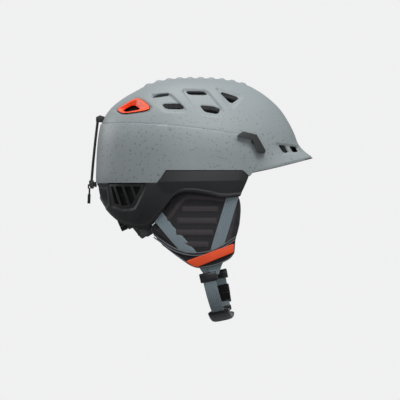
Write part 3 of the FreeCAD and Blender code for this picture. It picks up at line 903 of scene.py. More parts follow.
def offset_outline(outline: Outline, amount: float) -> list[tuple[float, float]]:
    """An outline grown by moving each corner along its neighbours' normal.

    Args:
        outline: The outline's corners.
        amount: How far it grows; less than 0 shrinks it.

    Returns:
        The new corners.
    """
    points = list(outline)
    count = len(points)
    area = sum(x0 * z1 - x1 * z0 for (x0, z0), (x1, z1) in zip(points, [*points[1:], points[0]]))
    turn = 1.0 if area > 0 else -1.0
    grown = []
    for i, (x, z) in enumerate(points):
        (x0, z0), (x1, z1) = points[i - 1], points[(i + 1) % count]
        a = Vector((z - z0, -(x - x0))).normalized() * turn
        b = Vector((z1 - z, -(x1 - x))).normalized() * turn
        middle = (a + b).normalized()
        reach = amount / max(0.35, middle.dot(a))
        grown.append((x + middle.x * reach, z + middle.y * reach))
    return grown


def cut_window(
    bm: bmesh.types.BMesh, outline: Outline, side: Side, roll: float, lip: float, band: float = 1.3
) -> None:
    """Cuts a hole with a rolled edge through a sheet, seen from the side.

    Args:
        bm: The sheet.
        outline: The hole's corners as X, Z, in millimetres.
        side: The side of the helmet that is cut.
        roll: How far the edge rolls in.
        lip: How deep the hole's wall is.
        band: How wide the rolled edge is.
    """
    edge = rounded(outline, 1, 0.16)
    xs, zs = [p[0] * MM for p in edge], [p[1] * MM for p in edge]
    margin, off_middle = 5 * MM, 12 * MM

    def near(face: bmesh.types.BMFace) -> bool:
        """Whether a face is close enough to be cut."""
        c = face.calc_center_median()
        return (
            c.y * side.value > off_middle
            and min(xs) - margin < c.x < max(xs) + margin
            and min(zs) - margin < c.z < max(zs) + margin
        )

    faces = [f for f in bm.faces if near(f)]
    geom = list({v for f in faces for v in f.verts}) + list({e for f in faces for e in f.edges}) + faces
    for grow in (band, 0.0):
        line = offset_outline(edge, grow)
        for (x0, z0), (x1, z1) in zip(line, [*line[1:], line[0]]):
            normal = Vector((z1 - z0, 0.0, x0 - x1)).normalized()
            plane = Vector((x0 * MM, 0.0, z0 * MM))
            geom = bmesh.ops.bisect_plane(bm, geom=geom, dist=2e-5, plane_co=plane, plane_no=normal)["geom"]
    faces = [g for g in geom if isinstance(g, bmesh.types.BMFace)]
    centres = np.array([f.calc_center_median() for f in faces]) / MM
    inside = depth_inside(centres[:, 0], centres[:, 2], edge) > 0
    bmesh.ops.delete(bm, geom=[f for f, gone in zip(faces, inside) if gone], context="FACES")
    bm.normal_update()
    verts = list({v for f in faces if f.is_valid for v in f.verts})
    places = np.array([v.co for v in verts]) / MM
    far = -depth_inside(places[:, 0], places[:, 2], edge)
    rim = {v for v, d in zip(verts, far) if abs(d) < 0.06}
    moves = roll * np.clip(1 - np.maximum(far, 0) / band, 0, 1) ** 2
    for v, normal, move in [(v, v.normal.copy(), m) for v, m in zip(verts, moves) if m > 0]:
        v.co -= normal * float(move) * MM
    edges = [e for v in rim for e in v.link_edges if e.is_boundary and e.other_vert(v) in rim]
    made = bmesh.ops.extrude_edge_only(bm, edges=list(set(edges)))["geom"]
    bm.normal_update()
    for v in (g for g in made if isinstance(g, bmesh.types.BMVert)):
        v.co += (Vector((AXIS_X, 0.0, v.co.z * 0.6)) - v.co).normalized() * lip * MM


def lip_edge(
    bm: bmesh.types.BMesh, chosen: Callable[[bmesh.types.BMEdge], bool], moves: Sequence[Vector | float]
) -> None:
    """Gives a sheet's open edge a wall, in steps.

    Args:
        bm: The sheet.
        chosen: Tells which open edges get it.
        moves: Each step is a vector in millimetres, or how far the wall goes straight in towards the middle.
    """
    edges = [e for e in bm.edges if e.is_boundary and chosen(e)]
    for move in moves:
        made = bmesh.ops.extrude_edge_only(bm, edges=edges)["geom"]
        for v in (g for g in made if isinstance(g, bmesh.types.BMVert)):
            if isinstance(move, Vector):
                v.co += move * MM
            else:
                v.co += Vector((AXIS_X - v.co.x, -v.co.y, 0.0)).normalized() * move * MM
        edges = [e for e in made if isinstance(e, bmesh.types.BMEdge)]


def solid_from(outline: Outline, near_y: float, far_y: float) -> bmesh.types.BMesh:
    """A flat-sided solid, all in millimetres.

    Args:
        outline: Its corners as X, Z.
        near_y: Y of one face.
        far_y: Y of the other.

    Returns:
        Its mesh.
    """
    bm = bmesh.new()
    ring = [bm.verts.new((x * MM, near_y * MM, z * MM)) for x, z in outline]
    face = bm.faces.new(ring)
    made = bmesh.ops.extrude_face_region(bm, geom=[face])["geom"]
    moved = [v for v in made if isinstance(v, bmesh.types.BMVert)]
    bmesh.ops.translate(bm, verts=moved, vec=(0, (far_y - near_y) * MM, 0))
    face_outwards(bm)
    return bm


def soften(bm: bmesh.types.BMesh, width: float, segments: int = 3, angle: float = 25.0) -> None:
    """Bevels every edge sharper than an angle.

    Args:
        bm: The mesh.
        width: The bevel's width, in millimetres.
        segments: Steps in the bevel.
        angle: The angle, in degrees.
    """
    limit = math.radians(angle)
    edges = [e for e in bm.edges if e.is_manifold and e.calc_face_angle(0.0) > limit]
    bmesh.ops.bevel(
        bm, geom=edges, offset=width * MM, offset_type="OFFSET", segments=segments, profile=0.5,
        affect="EDGES", clamp_overlap=True, material=-1,
    )  # fmt: skip


def piece_from(bm: bmesh.types.BMesh, name: str, sharp: float = 40.0) -> bpy.types.Object:
    """A new object of a mesh, shaded smooth.

    Args:
        bm: The mesh, which is used up.
        name: The object's name.
        sharp: Edges sharper than this stay sharp, in degrees.

    Returns:
        The object.
    """
    mesh = bpy.data.meshes.new(name)
    bm.to_mesh(mesh)
    bm.free()
    mesh.polygons.foreach_set("use_smooth", [True] * len(mesh.polygons))
    mesh.set_sharp_from_angle(angle=math.radians(sharp))
    made = bpy.data.objects.new(name, mesh)
    bpy.context.scene.collection.objects.link(made)
    return made


def evaluated(piece: bpy.types.Object) -> bpy.types.Mesh:
    """A copy of a piece's mesh with its modifiers applied.

    Args:
        piece: The piece.

    Returns:
        The copy.
    """
    bpy.context.view_layer.update()
    graph = bpy.context.evaluated_depsgraph_get()
    return bpy.data.meshes.new_from_object(piece.evaluated_get(graph))


def add_strip(bm: bmesh.types.BMesh, strip: Strip) -> None:
    """Adds a strip's mesh to another mesh.

    Args:
        bm: The mesh that it goes into.
        strip: The strip.
    """
    part = strip.mesh()
    held = bpy.data.meshes.new("strip")
    part.to_mesh(held)
    part.free()
    bm.from_mesh(held)
    bpy.data.meshes.remove(held)


def present(
    piece: bpy.types.Object,
    finish: Finish,
    body: str = "",
    stands_for: Sequence[str] = (),
) -> None:
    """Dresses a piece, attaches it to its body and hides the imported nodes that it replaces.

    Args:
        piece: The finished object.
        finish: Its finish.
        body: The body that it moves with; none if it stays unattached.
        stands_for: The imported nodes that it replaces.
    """
    piece.data.materials.clear()
    piece.data.materials.append(finish.material())
    if body:
        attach(piece, body)
    if stands_for:
        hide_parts(*stands_for)
    LOG.info("%s: %d faces", piece.name, len(piece.data.polygons))


def refined(node: str, finish: Finish, body: str, width: float, segments: int = 2) -> None:
    """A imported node's shape with its edges rounded, as a piece of its own.

    Args:
        node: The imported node.
        finish: Its finish.
        body: The body that it moves with.
        width: The width of the rounding, in millimetres.
        segments: Steps in the rounding.
    """
    bm = bmesh.new()
    bm.from_mesh(frame["nodes"][node].data)
    weld(bm, 2e-6)
    bmesh.ops.dissolve_limit(bm, angle_limit=math.radians(1.5), verts=bm.verts, edges=bm.edges)
    soften(bm, width, segments, 28.0)
    present(piece_from(bm, node + "_finished", 35.0), finish, body, [node])


def dress_node(node: str, finish: Finish) -> None:
    """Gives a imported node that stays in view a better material.

    Args:
        node: The node.
        finish: Its finish.
    """
    piece = frame["nodes"][node]
    if not piece.material_slots:
        piece.data.materials.append(None)
    for held in piece.material_slots:
        held.material = finish.material()


# Assemblies


@dataclass
class HardShells:
    """The grey upper shell with its brim and the black lower shell."""

    columns: int = 410
    rows: int = 200
    lower_columns: int = 420
    lower_rows: int = 64
    brim_reach: float = 12.0
    brim_rise: float = 21.0
    brim_lip: float = 2.6
    wall: float = 1.9
    panel_depth: float = 2.3
    frame_seat: float = 1.2
    crease_height: float = 52.0
    crease_drop: float = 1.3
    scoop_depth: float = 1.5
    rib_first: float = -42.0
    rib_pitch: float = 13.4
    rib_count: int = 10
    rib_half_span: float = 24.0
    rib_rise: float = 1.6
    ridge_rise: float = 2.6
    underside_wide: float = 21.0
    underside_front: float = 79.3
    body: str = "helmet"

    def brim_bottom(self) -> Outline:
        """The upper shell's lower edge, before the brim is drawn out."""
        return [*HEM, (DOME.centre_x + DOME.front, 9.0)]

    def upper_inset(self, x: Array, y: Array, z: Array) -> Array:
        """How far in the upper shell's surface lies from the plain form.

        Args:
            x: X of the plain points.
            y: Their Y.
            z: Their Z.

        Returns:
            One inset for each point, in millimetres.
        """
        side = smoothstep(np.abs(y), 14.0, 22.0)
        inset = np.zeros(x.shape)
        for panel in VENT_PANELS:
            deep = smoothstep(depth_inside(x, z, rounded(panel, 1, 0.12)), -0.5, 1.6)
            fall = 0.55 + 0.45 * smoothstep(z, min(p[1] for p in panel), max(p[1] for p in panel))
            inset = np.maximum(inset, self.panel_depth * deep * fall * side)
        frame_rim = smoothstep(depth_inside(x, z, offset_outline(ACCENT_VENT, 3.5)), 0.0, 3.0)
        inset = np.maximum(inset, self.frame_seat * frame_rim * side)
        crease = self.crease_height - 0.00053 * (x + 98.0) ** 2
        below = smoothstep(crease - z, 0.0, 1.3) * (1 - smoothstep(crease - z, 5.0, 40.0))
        groove = 0.5 * np.exp(-(((z - crease) / 0.8) ** 2))
        reach = smoothstep(x, -112.0, -96.0) * (1 - smoothstep(x, 58.0, 82.0))
        inset += (groove - self.crease_drop * below) * reach
        scoop = smoothstep(depth_inside(x, z, BROW_SCOOP), 0.0, 3.0) * smoothstep(np.abs(y), 10, 16)
        return inset + self.scoop_depth * scoop - self.rib_height(x, y)

    def rib_height(self, x: Array, y: Array) -> Array:
        """How far the crown's bars stand up.

        Args:
            x: X of the plain points.
            y: Their Y.

        Returns:
            One height for each point, in millimetres.
        """
        step = (x - self.rib_first + 0.5 * self.rib_pitch) / self.rib_pitch
        along = np.abs(step - np.floor(step) - 0.5) * self.rib_pitch
        within = (step > 0) & (step < self.rib_count)
        span = self.rib_half_span + 3.0 * np.cos(np.pi * np.clip((x - 17.0) / 70.0, -1, 1))
        across = 1 - smoothstep(np.abs(y), span - 4.0, span)
        return self.rib_rise * (1 - smoothstep(along, 1.2, 5.4)) * across * within

    def place_upper(self, u: Array, v: Array) -> Array:
        """Points of the upper shell for a sheet's two directions.

        Args:
            u: Shares round the head, from the back over the right side.
            v: Shares from the lower edge to the crown.

        Returns:
            The points, in millimetres.
        """
        steps, which = np.unique(np.round(u, 7), return_inverse=True)
        bottom = DOME.height_on((steps * 2 - 1) * math.pi, self.brim_bottom())[which]
        angle = (u * 2 - 1) * math.pi
        height = bottom + (DOME.crown - bottom) * np.sin(v * math.pi / 2)
        plain = DOME.at(angle, height)
        made = DOME.at(angle, height, self.upper_inset(plain[:, 0], plain[:, 1], plain[:, 2]))
        above = height - bottom
        curl = np.clip(1 - (above - self.brim_lip) / self.brim_rise, 0, 1) ** 2.2
        curve = np.where(above < self.brim_lip, 1.0, curl)
        front = np.clip(np.cos(angle), 0, 1) ** (2 / DOME.exponent) * smoothstep(plain[:, 0], 76.0, 118.0)
        made[:, 0] += self.brim_reach * front * curve
        return made

    def upper(self) -> None:
        """Builds the upper shell and cuts its vents."""
        bm = grid(self.columns, self.rows, self.place_upper)
        weld(bm, 1e-5)
        face_outwards(bm)
        for side in Side:
            for vent in SIDE_VENTS:
                cut_window(bm, vent, side, roll=0.9, lip=5.0)
            for slot in BROW_SLOTS:
                cut_window(bm, slot, side, roll=0.25, lip=1.8, band=0.7)
            cut_window(bm, offset_outline(ACCENT_VENT, 0.4), side, roll=0.5, lip=4.0)
        lip_edge(bm, lambda e: e.verts[0].co.z < 0.012, [Vector((0, 0, -0.4)), self.wall])
        present(piece_from(bm, "upper_shell_skin", 38.0), SHELL, self.body, ["upper_shell"])

    def brim_underside(self) -> None:
        """Builds the black panel under the brim."""
        ends = float(DOME.angle(90.0, -8.0))

        def place(u: Array, v: Array) -> Array:
            """The surface's points for two shares."""
            angle = (u * 2 - 1) * ends
            made = DOME.at(angle, np.zeros(u.shape), 1.0 + self.underside_wide * v)
            front = np.cos(angle) ** (2 / DOME.exponent) * smoothstep(made[:, 0], 70.0, 118.0)
            made[:, 0] += self.brim_reach * front * (1 - v)
            x = made[:, 0]
            crown = 1.6 * np.sin(np.pi * np.clip(v, 0, 1)) * front
            made[:, 2] = -9.9 + (x - HEM[-1][0]) * 18.5 / self.underside_front + crown
            return made

        bm = grid(160, 12, place)
        face_outwards(bm)
        bmesh.ops.solidify(bm, geom=bm.faces, thickness=0.0009)
        present(piece_from(bm, "brim_underside"), LOWER, self.body)

    def lower_inset(self, x: Array, z: Array, above: Array) -> Array:
        """How far in the lower shell's surface lies from the plain form.

        Args:
            x: X of the plain points.
            z: Their Z.
            above: How far each point is above the lower edge.

        Returns:
            One inset for each point, in millimetres.
        """
        top = np.interp(x, [p[0] for p in HEM], [p[1] for p in HEM])
        far = distance_to(x, z, RIDGE)
        tent = self.ridge_rise * np.clip(1 - far / 15.0, 0, 1) * (1 - smoothstep(x, 70.0, 88.0))
        tuck = 0.8 * smoothstep(z, top - 1.6, top)
        window = depth_inside(x, z, REAR_WINDOW)
        chamfer = 2.2 * smoothstep(window, -6.5, -0.5) * (x < -44)
        facet = 1.4 * smoothstep(depth_inside(x, z, REAR_FACET), 0.0, 4.0)
        rim = 0.9 * (1 - smoothstep(above, 3.2, 5.2)) - 0.9 * (1 - smoothstep(above, 0.0, 1.4))
        return 1.0 + tuck - tent + np.maximum(chamfer, facet) - rim

    def lower(self) -> None:
        """Builds the lower shell and cuts its rear windows."""
        top_end = float(DOME.angle(85.1, -15.0))
        low_end = float(DOME.angle(74.0, -40.0))

        def place(u: Array, v: Array) -> Array:
            """The surface's points for two shares."""
            steps, which = np.unique(np.round(u, 7), return_inverse=True)
            turn = np.abs(steps * 2 - 1)
            sign = np.where(steps < 0.5, -1.0, 1.0)
            high_angle = math.pi - (math.pi - top_end) * turn
            low_angle = math.pi - (math.pi - low_end) * turn
            high = DOME.height_on(high_angle, HEM) - 0.4
            low = DOME.height_on(low_angle, rounded(LOWER_EDGE, 1, 0.25, closed=False))
            angle = (sign * high_angle)[which] * v + (sign * low_angle)[which] * (1 - v)
            height = high[which] * v + low[which] * (1 - v)
            plain = DOME.at(angle, height)
            inset = self.lower_inset(plain[:, 0], plain[:, 2], height - low[which])
            return DOME.at(angle, height, inset)

        bm = grid(self.lower_columns, self.lower_rows, place)
        weld(bm, 1e-5)
        face_outwards(bm)
        for side in Side:
            cut_window(bm, REAR_WINDOW, side, roll=0.8, lip=6.0, band=1.6)
        hem = {v for e in bm.edges if e.is_boundary for v in e.verts}
        lip_edge(bm, lambda e: e.verts[0] in hem and e.verts[0].co.z < -0.009, [0.6, 2.4])
        present(piece_from(bm, "lower_shell_skin", 34.0), LOWER, self.body, ["lower_shell"])

    def build(self) -> None:
        """Builds both shells."""
        self.upper()
        self.brim_underside()
        self.lower()


@dataclass
class Fittings:
    """Vent frames, dark backing sheets that paint the shade inside the vents, grilles, headlamp clips, and
    the retainer's anchor and catch.
    """

    body: str = "helmet"
    frame_steps: int = 72
    height_passes: int = 6

    def accent_frame(self, side: Side) -> None:
        """Builds the funnel-shaped coloured frame of a rear vent."""
        middle = ACCENT_MIDDLE

        def reach(outline: Outline, turn: Array) -> Array:
            """How far the outline is from the middle at each turn."""
            found = np.zeros(turn.shape)
            far = np.stack([middle[0] + 60 * np.cos(turn), middle[1] + 60 * np.sin(turn)], axis=1)
            low, high = np.zeros(turn.shape), np.ones(turn.shape)
            for _ in range(30):
                found = (low + high) / 2
                x = middle[0] + (far[:, 0] - middle[0]) * found
                z = middle[1] + (far[:, 1] - middle[1]) * found
                inside = depth_inside(x, z, outline) > 0
                low, high = np.where(inside, found, low), np.where(inside, high, found)
            return found * 60

        outer, inner = rounded(ACCENT_VENT, 2, 0.2), rounded(offset_outline(ACCENT_HOLE, 0.6), 1, 0.18)
        rim = [(0.0, 3.0), (0.0, -0.6), (0.06, -1.0), (0.24, -1.0), (0.3, -0.6)]
        profile = np.array([*rim, (0.96, 5.2), (1.0, 6.0), (1.0, 12)])

        def place(u: Array, v: Array) -> Array:
            """The surface's points for two shares."""
            turn = u * 2 * math.pi
            stops = np.linspace(0, 1, len(profile))
            share, inset = np.interp(v, stops, profile[:, 0]), np.interp(v, stops, profile[:, 1])
            far = reach(outer, turn) * (1 - share) + reach(inner, turn) * share
            x, z = middle[0] + far * np.cos(turn), middle[1] + far * np.sin(turn)
            height = z.copy()
            for _ in range(self.height_passes):
                height += z - DOME.at(DOME.angle(x, height), height, inset)[:, 2]
            reached = DOME.at(DOME.angle(x, height), height, inset)
            return np.stack([x, side.value * np.abs(reached[:, 1]), z], axis=1)

        bm = grid(self.frame_steps, 3 * (len(profile) - 1), place)
        weld(bm, 1e-5)
        face_outwards(bm)
        name = f"{side.word}_accent_frame_skin"
        present(piece_from(bm, name, 25.0), ACCENT, self.body, [f"{side.word}_accent_vent_frame"])

    def gauze(
        self, side: Side, name: str, span_x: tuple[float, float], span_z: tuple[float, float], inset: float
    ) -> None:
        """Builds a dark sheet behind an opening, as painted shade for the shadowed inside of the vent.

        Args:
            side: The side of the helmet.
            name: What the opening is.
            span_x: Its rear and front end.
            span_z: Its lower and upper edge.
            inset: How far behind the shell's surface it lies.
        """

        def place(u: Array, v: Array) -> Array:
            """The surface's points for two shares."""
            x = span_x[0] + (span_x[1] - span_x[0]) * u
            z = span_z[0] + (span_z[1] - span_z[0]) * v
            reached = DOME.at(DOME.angle(x, z), z, inset)
            return np.stack([reached[:, 0], side.value * np.abs(reached[:, 1]), z], axis=1)

        bm = grid(36, 24, place)
        face_outwards(bm)
        bmesh.ops.solidify(bm, geom=bm.faces, thickness=0.0008)
        face_outwards(bm)
        present(piece_from(bm, f"{side.word}_{name}_gauze", 60.0), FOAM, self.body)

    def build(self) -> None:
        """Builds every fitting of the hard shells."""
        for side in Side:
            self.accent_frame(side)
            # Dark sheets behind the rear window and the brow slot paint the shade inside these vents.
            self.gauze(side, "window", (-91.0, -45.0), (-56.0, -25.0), 9.5)
            self.gauze(side, "brow_slot", (117.0, 143.0), (11.5, 27.0), 3.4)
            refined(f"{side.word}_rear_vent_grille", CLIP, self.body, 0.5)
            refined(f"{side.word}_headlamp_clip", CLIP, self.body, 0.7, 3)
        refined("retainer_anchor", CLIP, self.body, 0.35)
        refined("retainer_catch", CLIP, self.body, 0.5)


@dataclass
class Studio:
    """Floor, lights and camera."""

    distance: float = 4.0
    view_width: float = 0.508
    aim: tuple[float, float, float] = (0.0241, 0.0, -0.0445)
    floor_drop: float = 0.03
    pale: tuple[float, float, float] = (0.875, 0.876, 0.88)
    bounce: tuple[float, float, float] = (0.16, 0.16, 0.163)

    def floor(self) -> None:
        """Lays the pale floor: seen as plain as the backdrop, and dim to everything else."""
        bpy.ops.mesh.primitive_plane_add(size=60.0, location=(0, 0, CAD_BOX[0][2] - self.floor_drop))
        floor = bpy.context.object
        floor.name = "pale_floor"
        made = bpy.data.materials.new("pale floor")
        made.use_nodes = True
        made.node_tree.nodes.clear()
        tree = Tree(made.node_tree)
        seen = tree.node("Emission")
        seen.inputs["Color"].default_value = (*self.pale, 1.0)
        lit = tree.node("BsdfDiffuse")
        lit.inputs["Color"].default_value = (*self.bounce, 1.0)
        straight = tree.node("LightPath").outputs["Is Camera Ray"]
        both = tree.node("MixShader", in_0=straight)
        made.node_tree.links.new(lit.outputs[0], both.inputs[1])
        made.node_tree.links.new(seen.outputs[0], both.inputs[2])
        tree.node("OutputMaterial", in_Surface=both.outputs[0])
        floor.data.materials.append(made)

    def surroundings(self) -> None:
        """Sets the pale backdrop and its softer light."""
        world = bpy.data.worlds.new("studio")
        bpy.context.scene.world = world
        world.use_nodes = True
        nodes, links = world.node_tree.nodes, world.node_tree.links
        seen = nodes["Background"]
        seen.inputs[0].default_value = (*self.pale, 1.0)
        lit = nodes.new("ShaderNodeBackground")
        lit.inputs[0].default_value = (0.9, 0.95, 1.0, 1.0)
        lit.inputs[1].default_value = 0.46
        both = nodes.new("ShaderNodeMixShader")
        links.new(nodes.new("ShaderNodeLightPath").outputs["Is Camera Ray"], both.inputs[0])
        links.new(lit.outputs[0], both.inputs[1])
        links.new(seen.outputs[0], both.inputs[2])
        links.new(both.outputs[0], nodes["World Output"].inputs[0])

    def lights(self) -> None:
        """Hangs the soft lights, all turned to the helmet."""
        for name, place, size, power in (
            ("key", (0.5, -1.5, 1.7), 1.2, 35.0),
            ("top", (-0.2, 0.2, 2.0), 1.4, 22.0),
            ("rim", (-1.8, 0.9, 0.6), 0.9, 12.0),
            ("low", (0.2, -1.9, -0.1), 1.0, 11.0),
        ):
            lamp = bpy.data.lights.new(name, "AREA")
            lamp.energy, lamp.size = power, size
            held = bpy.data.objects.new(name, lamp)
            held.location = place
            held.rotation_euler = (Vector((0, 0, -0.02)) - Vector(place)).to_track_quat("-Z", "Y").to_euler()
            bpy.context.scene.collection.objects.link(held)

    def camera(self) -> None:
        """Sets the camera square to the wearer's right side."""
        lens = bpy.data.cameras.new("camera")
        lens.sensor_width = 36.0
        lens.lens = lens.sensor_width * self.distance / self.view_width
        held = bpy.data.objects.new("camera", lens)
        held.location = Vector(self.aim) - Vector((0, self.distance, 0))
        held.rotation_euler = (math.pi / 2, 0, 0)
        bpy.context.scene.collection.objects.link(held)
        bpy.context.scene.camera = held

    def build(self) -> None:
        """Sets up the studio."""
        bpy.context.scene.view_settings.view_transform = "Standard"
        self.floor()
        self.surroundings()
        self.lights()
        self.camera()


# Soft parts


def spline(points: Array, count: int) -> Array:
    """Points at equal steps along a smooth line.

    Args:
        points: What the line goes through.
        count: How many points are wanted.

    Returns:
        The points.
    """
    given = np.asarray(points, float)
    padded = np.vstack([2 * given[0] - given[1], given, 2 * given[-1] - given[-2]])
    fine = []
    for i in range(1, len(padded) - 2):
        a, b, c, d = padded[i - 1 : i + 3]
        for t in np.linspace(0, 1, 24, endpoint=False):
            square, cube = 2 * a - 5 * b + 4 * c - d, 3 * b - a - 3 * c + d
            fine.append(0.5 * (2 * b + (c - a) * t + square * t**2 + cube * t**3))
    fine = np.array([*fine, given[-1]])
    gone = np.concatenate([[0.0], np.cumsum(np.linalg.norm(np.diff(fine, axis=0), axis=1))])
    want = np.linspace(0, gone[-1], count)
    return np.stack([np.interp(want, gone, fine[:, k]) for k in range(3)], axis=1)


def unit(rows: Array) -> Array:
    """Rows made one long."""
    return rows / np.maximum(np.linalg.norm(rows, axis=-1, keepdims=True), 1e-12)


@dataclass
class Strip:
    """A shape swept along a line: a tape, a tube or a sleeve.

    Attributes:
        line: The line, in millimetres.
        across: The direction of its width, for each point or for all.
        width: Its width.
        thick: Its thickness.
        squareness: 1 is round; less is squarer.
        around: Steps round it.
        close_ends: How long its rounded ends are; none if 0.
    """

    line: Array
    across: Array
    width: float
    thick: float
    squareness: float = 0.35
    around: int = 20
    close_ends: float = 0.0

    def mesh(self) -> bmesh.types.BMesh:
        """The strip's mesh, with its UV map in metres across and along.

        Returns:
            The closed mesh.
        """
        line = np.asarray(self.line, float)
        count = len(line)
        tangent = unit(np.gradient(line, axis=0))
        across = np.asarray(self.across, float) * np.ones((count, 3))
        across = unit(across - tangent * np.sum(across * tangent, axis=1, keepdims=True))
        up = np.cross(tangent, across)
        gone = np.concatenate([[0.0], np.cumsum(np.linalg.norm(np.diff(line, axis=0), axis=1))])
        full = np.ones(count)
        if self.close_ends:
            near = np.minimum(gone, gone[-1] - gone) / self.close_ends
            full = np.sqrt(np.clip(1 - (1 - np.clip(near, 0, 1)) ** 2, 0, 1))

        def place(u: Array, v: Array) -> Array:
            """The surface's points for two shares."""
            turn = u * 2 * math.pi
            i = np.rint(v * (count - 1)).astype(int)
            a = np.sign(np.cos(turn)) * np.abs(np.cos(turn)) ** self.squareness * self.width / 2
            b = np.sign(np.sin(turn)) * np.abs(np.sin(turn)) ** (2 * self.squareness) * self.thick / 2
            wide = 0.75 + 0.25 * full[i]
            return line[i] + across[i] * (a * wide)[:, None] + up[i] * (b * full[i])[:, None]

        bm = grid(self.around, count - 1, place)
        uv = bm.loops.layers.uv.active
        places = {v: np.array(v.co) / MM for v in bm.verts}
        for face in bm.faces:
            for loop in face.loops:
                i = int(round(loop[uv].uv[1] * (count - 1)))
                sideways = float(np.dot(places[loop.vert] - line[i], across[i]))
                loop[uv].uv = (sideways * MM, float(gone[i]) * MM)
        weld(bm, 1e-6)
        bmesh.ops.holes_fill(bm, edges=[e for e in bm.edges if e.is_boundary], sides=0)
        face_outwards(bm)
        return bm


def simulate_padding(piece: bpy.types.Object, pressure: float, cap: float, frames: int = 18) -> None:
    """Swells a closed mesh as padded cloth and keeps the result.

    Args:
        piece: The piece, with an even mesh.
        pressure: The pressure inside.
        cap: The furthest that a point may move, in millimetres.
        frames: How long the cloth is left to settle.
    """
    cloth = piece.modifiers.new("padding", "CLOTH")
    cloth.settings.quality = 6
    cloth.settings.mass = 0.15
    cloth.settings.tension_stiffness = 22
    cloth.settings.bending_stiffness = 1.2
    cloth.settings.use_pressure = True
    cloth.settings.uniform_pressure_force = pressure
    cloth.settings.effector_weights.gravity = 0.0
    scene = bpy.context.scene
    for step in range(1, frames + 1):
        scene.frame_set(step)
    swollen = evaluated(piece)
    piece.modifiers.remove(cloth)
    scene.frame_set(1)
    before = np.array([v.co for v in piece.data.vertices])
    after = np.array([v.co for v in swollen.vertices])
    move = after - before
    far = np.linalg.norm(move, axis=1, keepdims=True)
    move *= np.minimum(1.0, cap * MM / np.maximum(far, 1e-9))
    piece.data.vertices.foreach_set("co", (before + move).ravel())
    bpy.data.meshes.remove(swollen)


def padded_mesh(
    outline: Outline, outer: float, inner: float, voxel: float, pressure: float, cap: float, smooth: int = 5
) -> bmesh.types.BMesh:
    """A cushion cut to an outline and filled, lying flat in X, Z.

    Args:
        outline: Its edge.
        outer: Y of its outer face.
        inner: Y of its inner face.
        voxel: The size of its mesh, in millimetres.
        pressure: How hard it is filled; none if 0.
        cap: The furthest that filling may move a point, in millimetres.
        smooth: How many times its edges are relaxed.

    Returns:
        Its mesh, to be shaped further.
    """
    piece = piece_from(solid_from(outline, outer, inner), "padding_form")
    remesh = piece.modifiers.new("even", "REMESH")
    remesh.mode = "VOXEL"
    remesh.voxel_size = voxel * MM
    even = evaluated(piece)
    piece.modifiers.clear()
    bm = bmesh.new()
    bm.from_mesh(even)
    for _ in range(smooth):
        bmesh.ops.smooth_vert(
            bm, verts=bm.verts, factor=0.5, use_axis_x=True, use_axis_y=True, use_axis_z=True
        )
    bm.to_mesh(piece.data)
    bm.free()
    bpy.data.meshes.remove(even)
    if pressure:
        simulate_padding(piece, pressure, cap)
    bm = bmesh.new()
    bm.from_mesh(piece.data)
    bmesh.ops.subdivide_edges(bm, edges=bm.edges, cuts=1, use_grid_fill=True, smooth=1.0)
    old = piece.data
    bpy.data.objects.remove(piece)
    bpy.data.meshes.remove(old)
    return bm


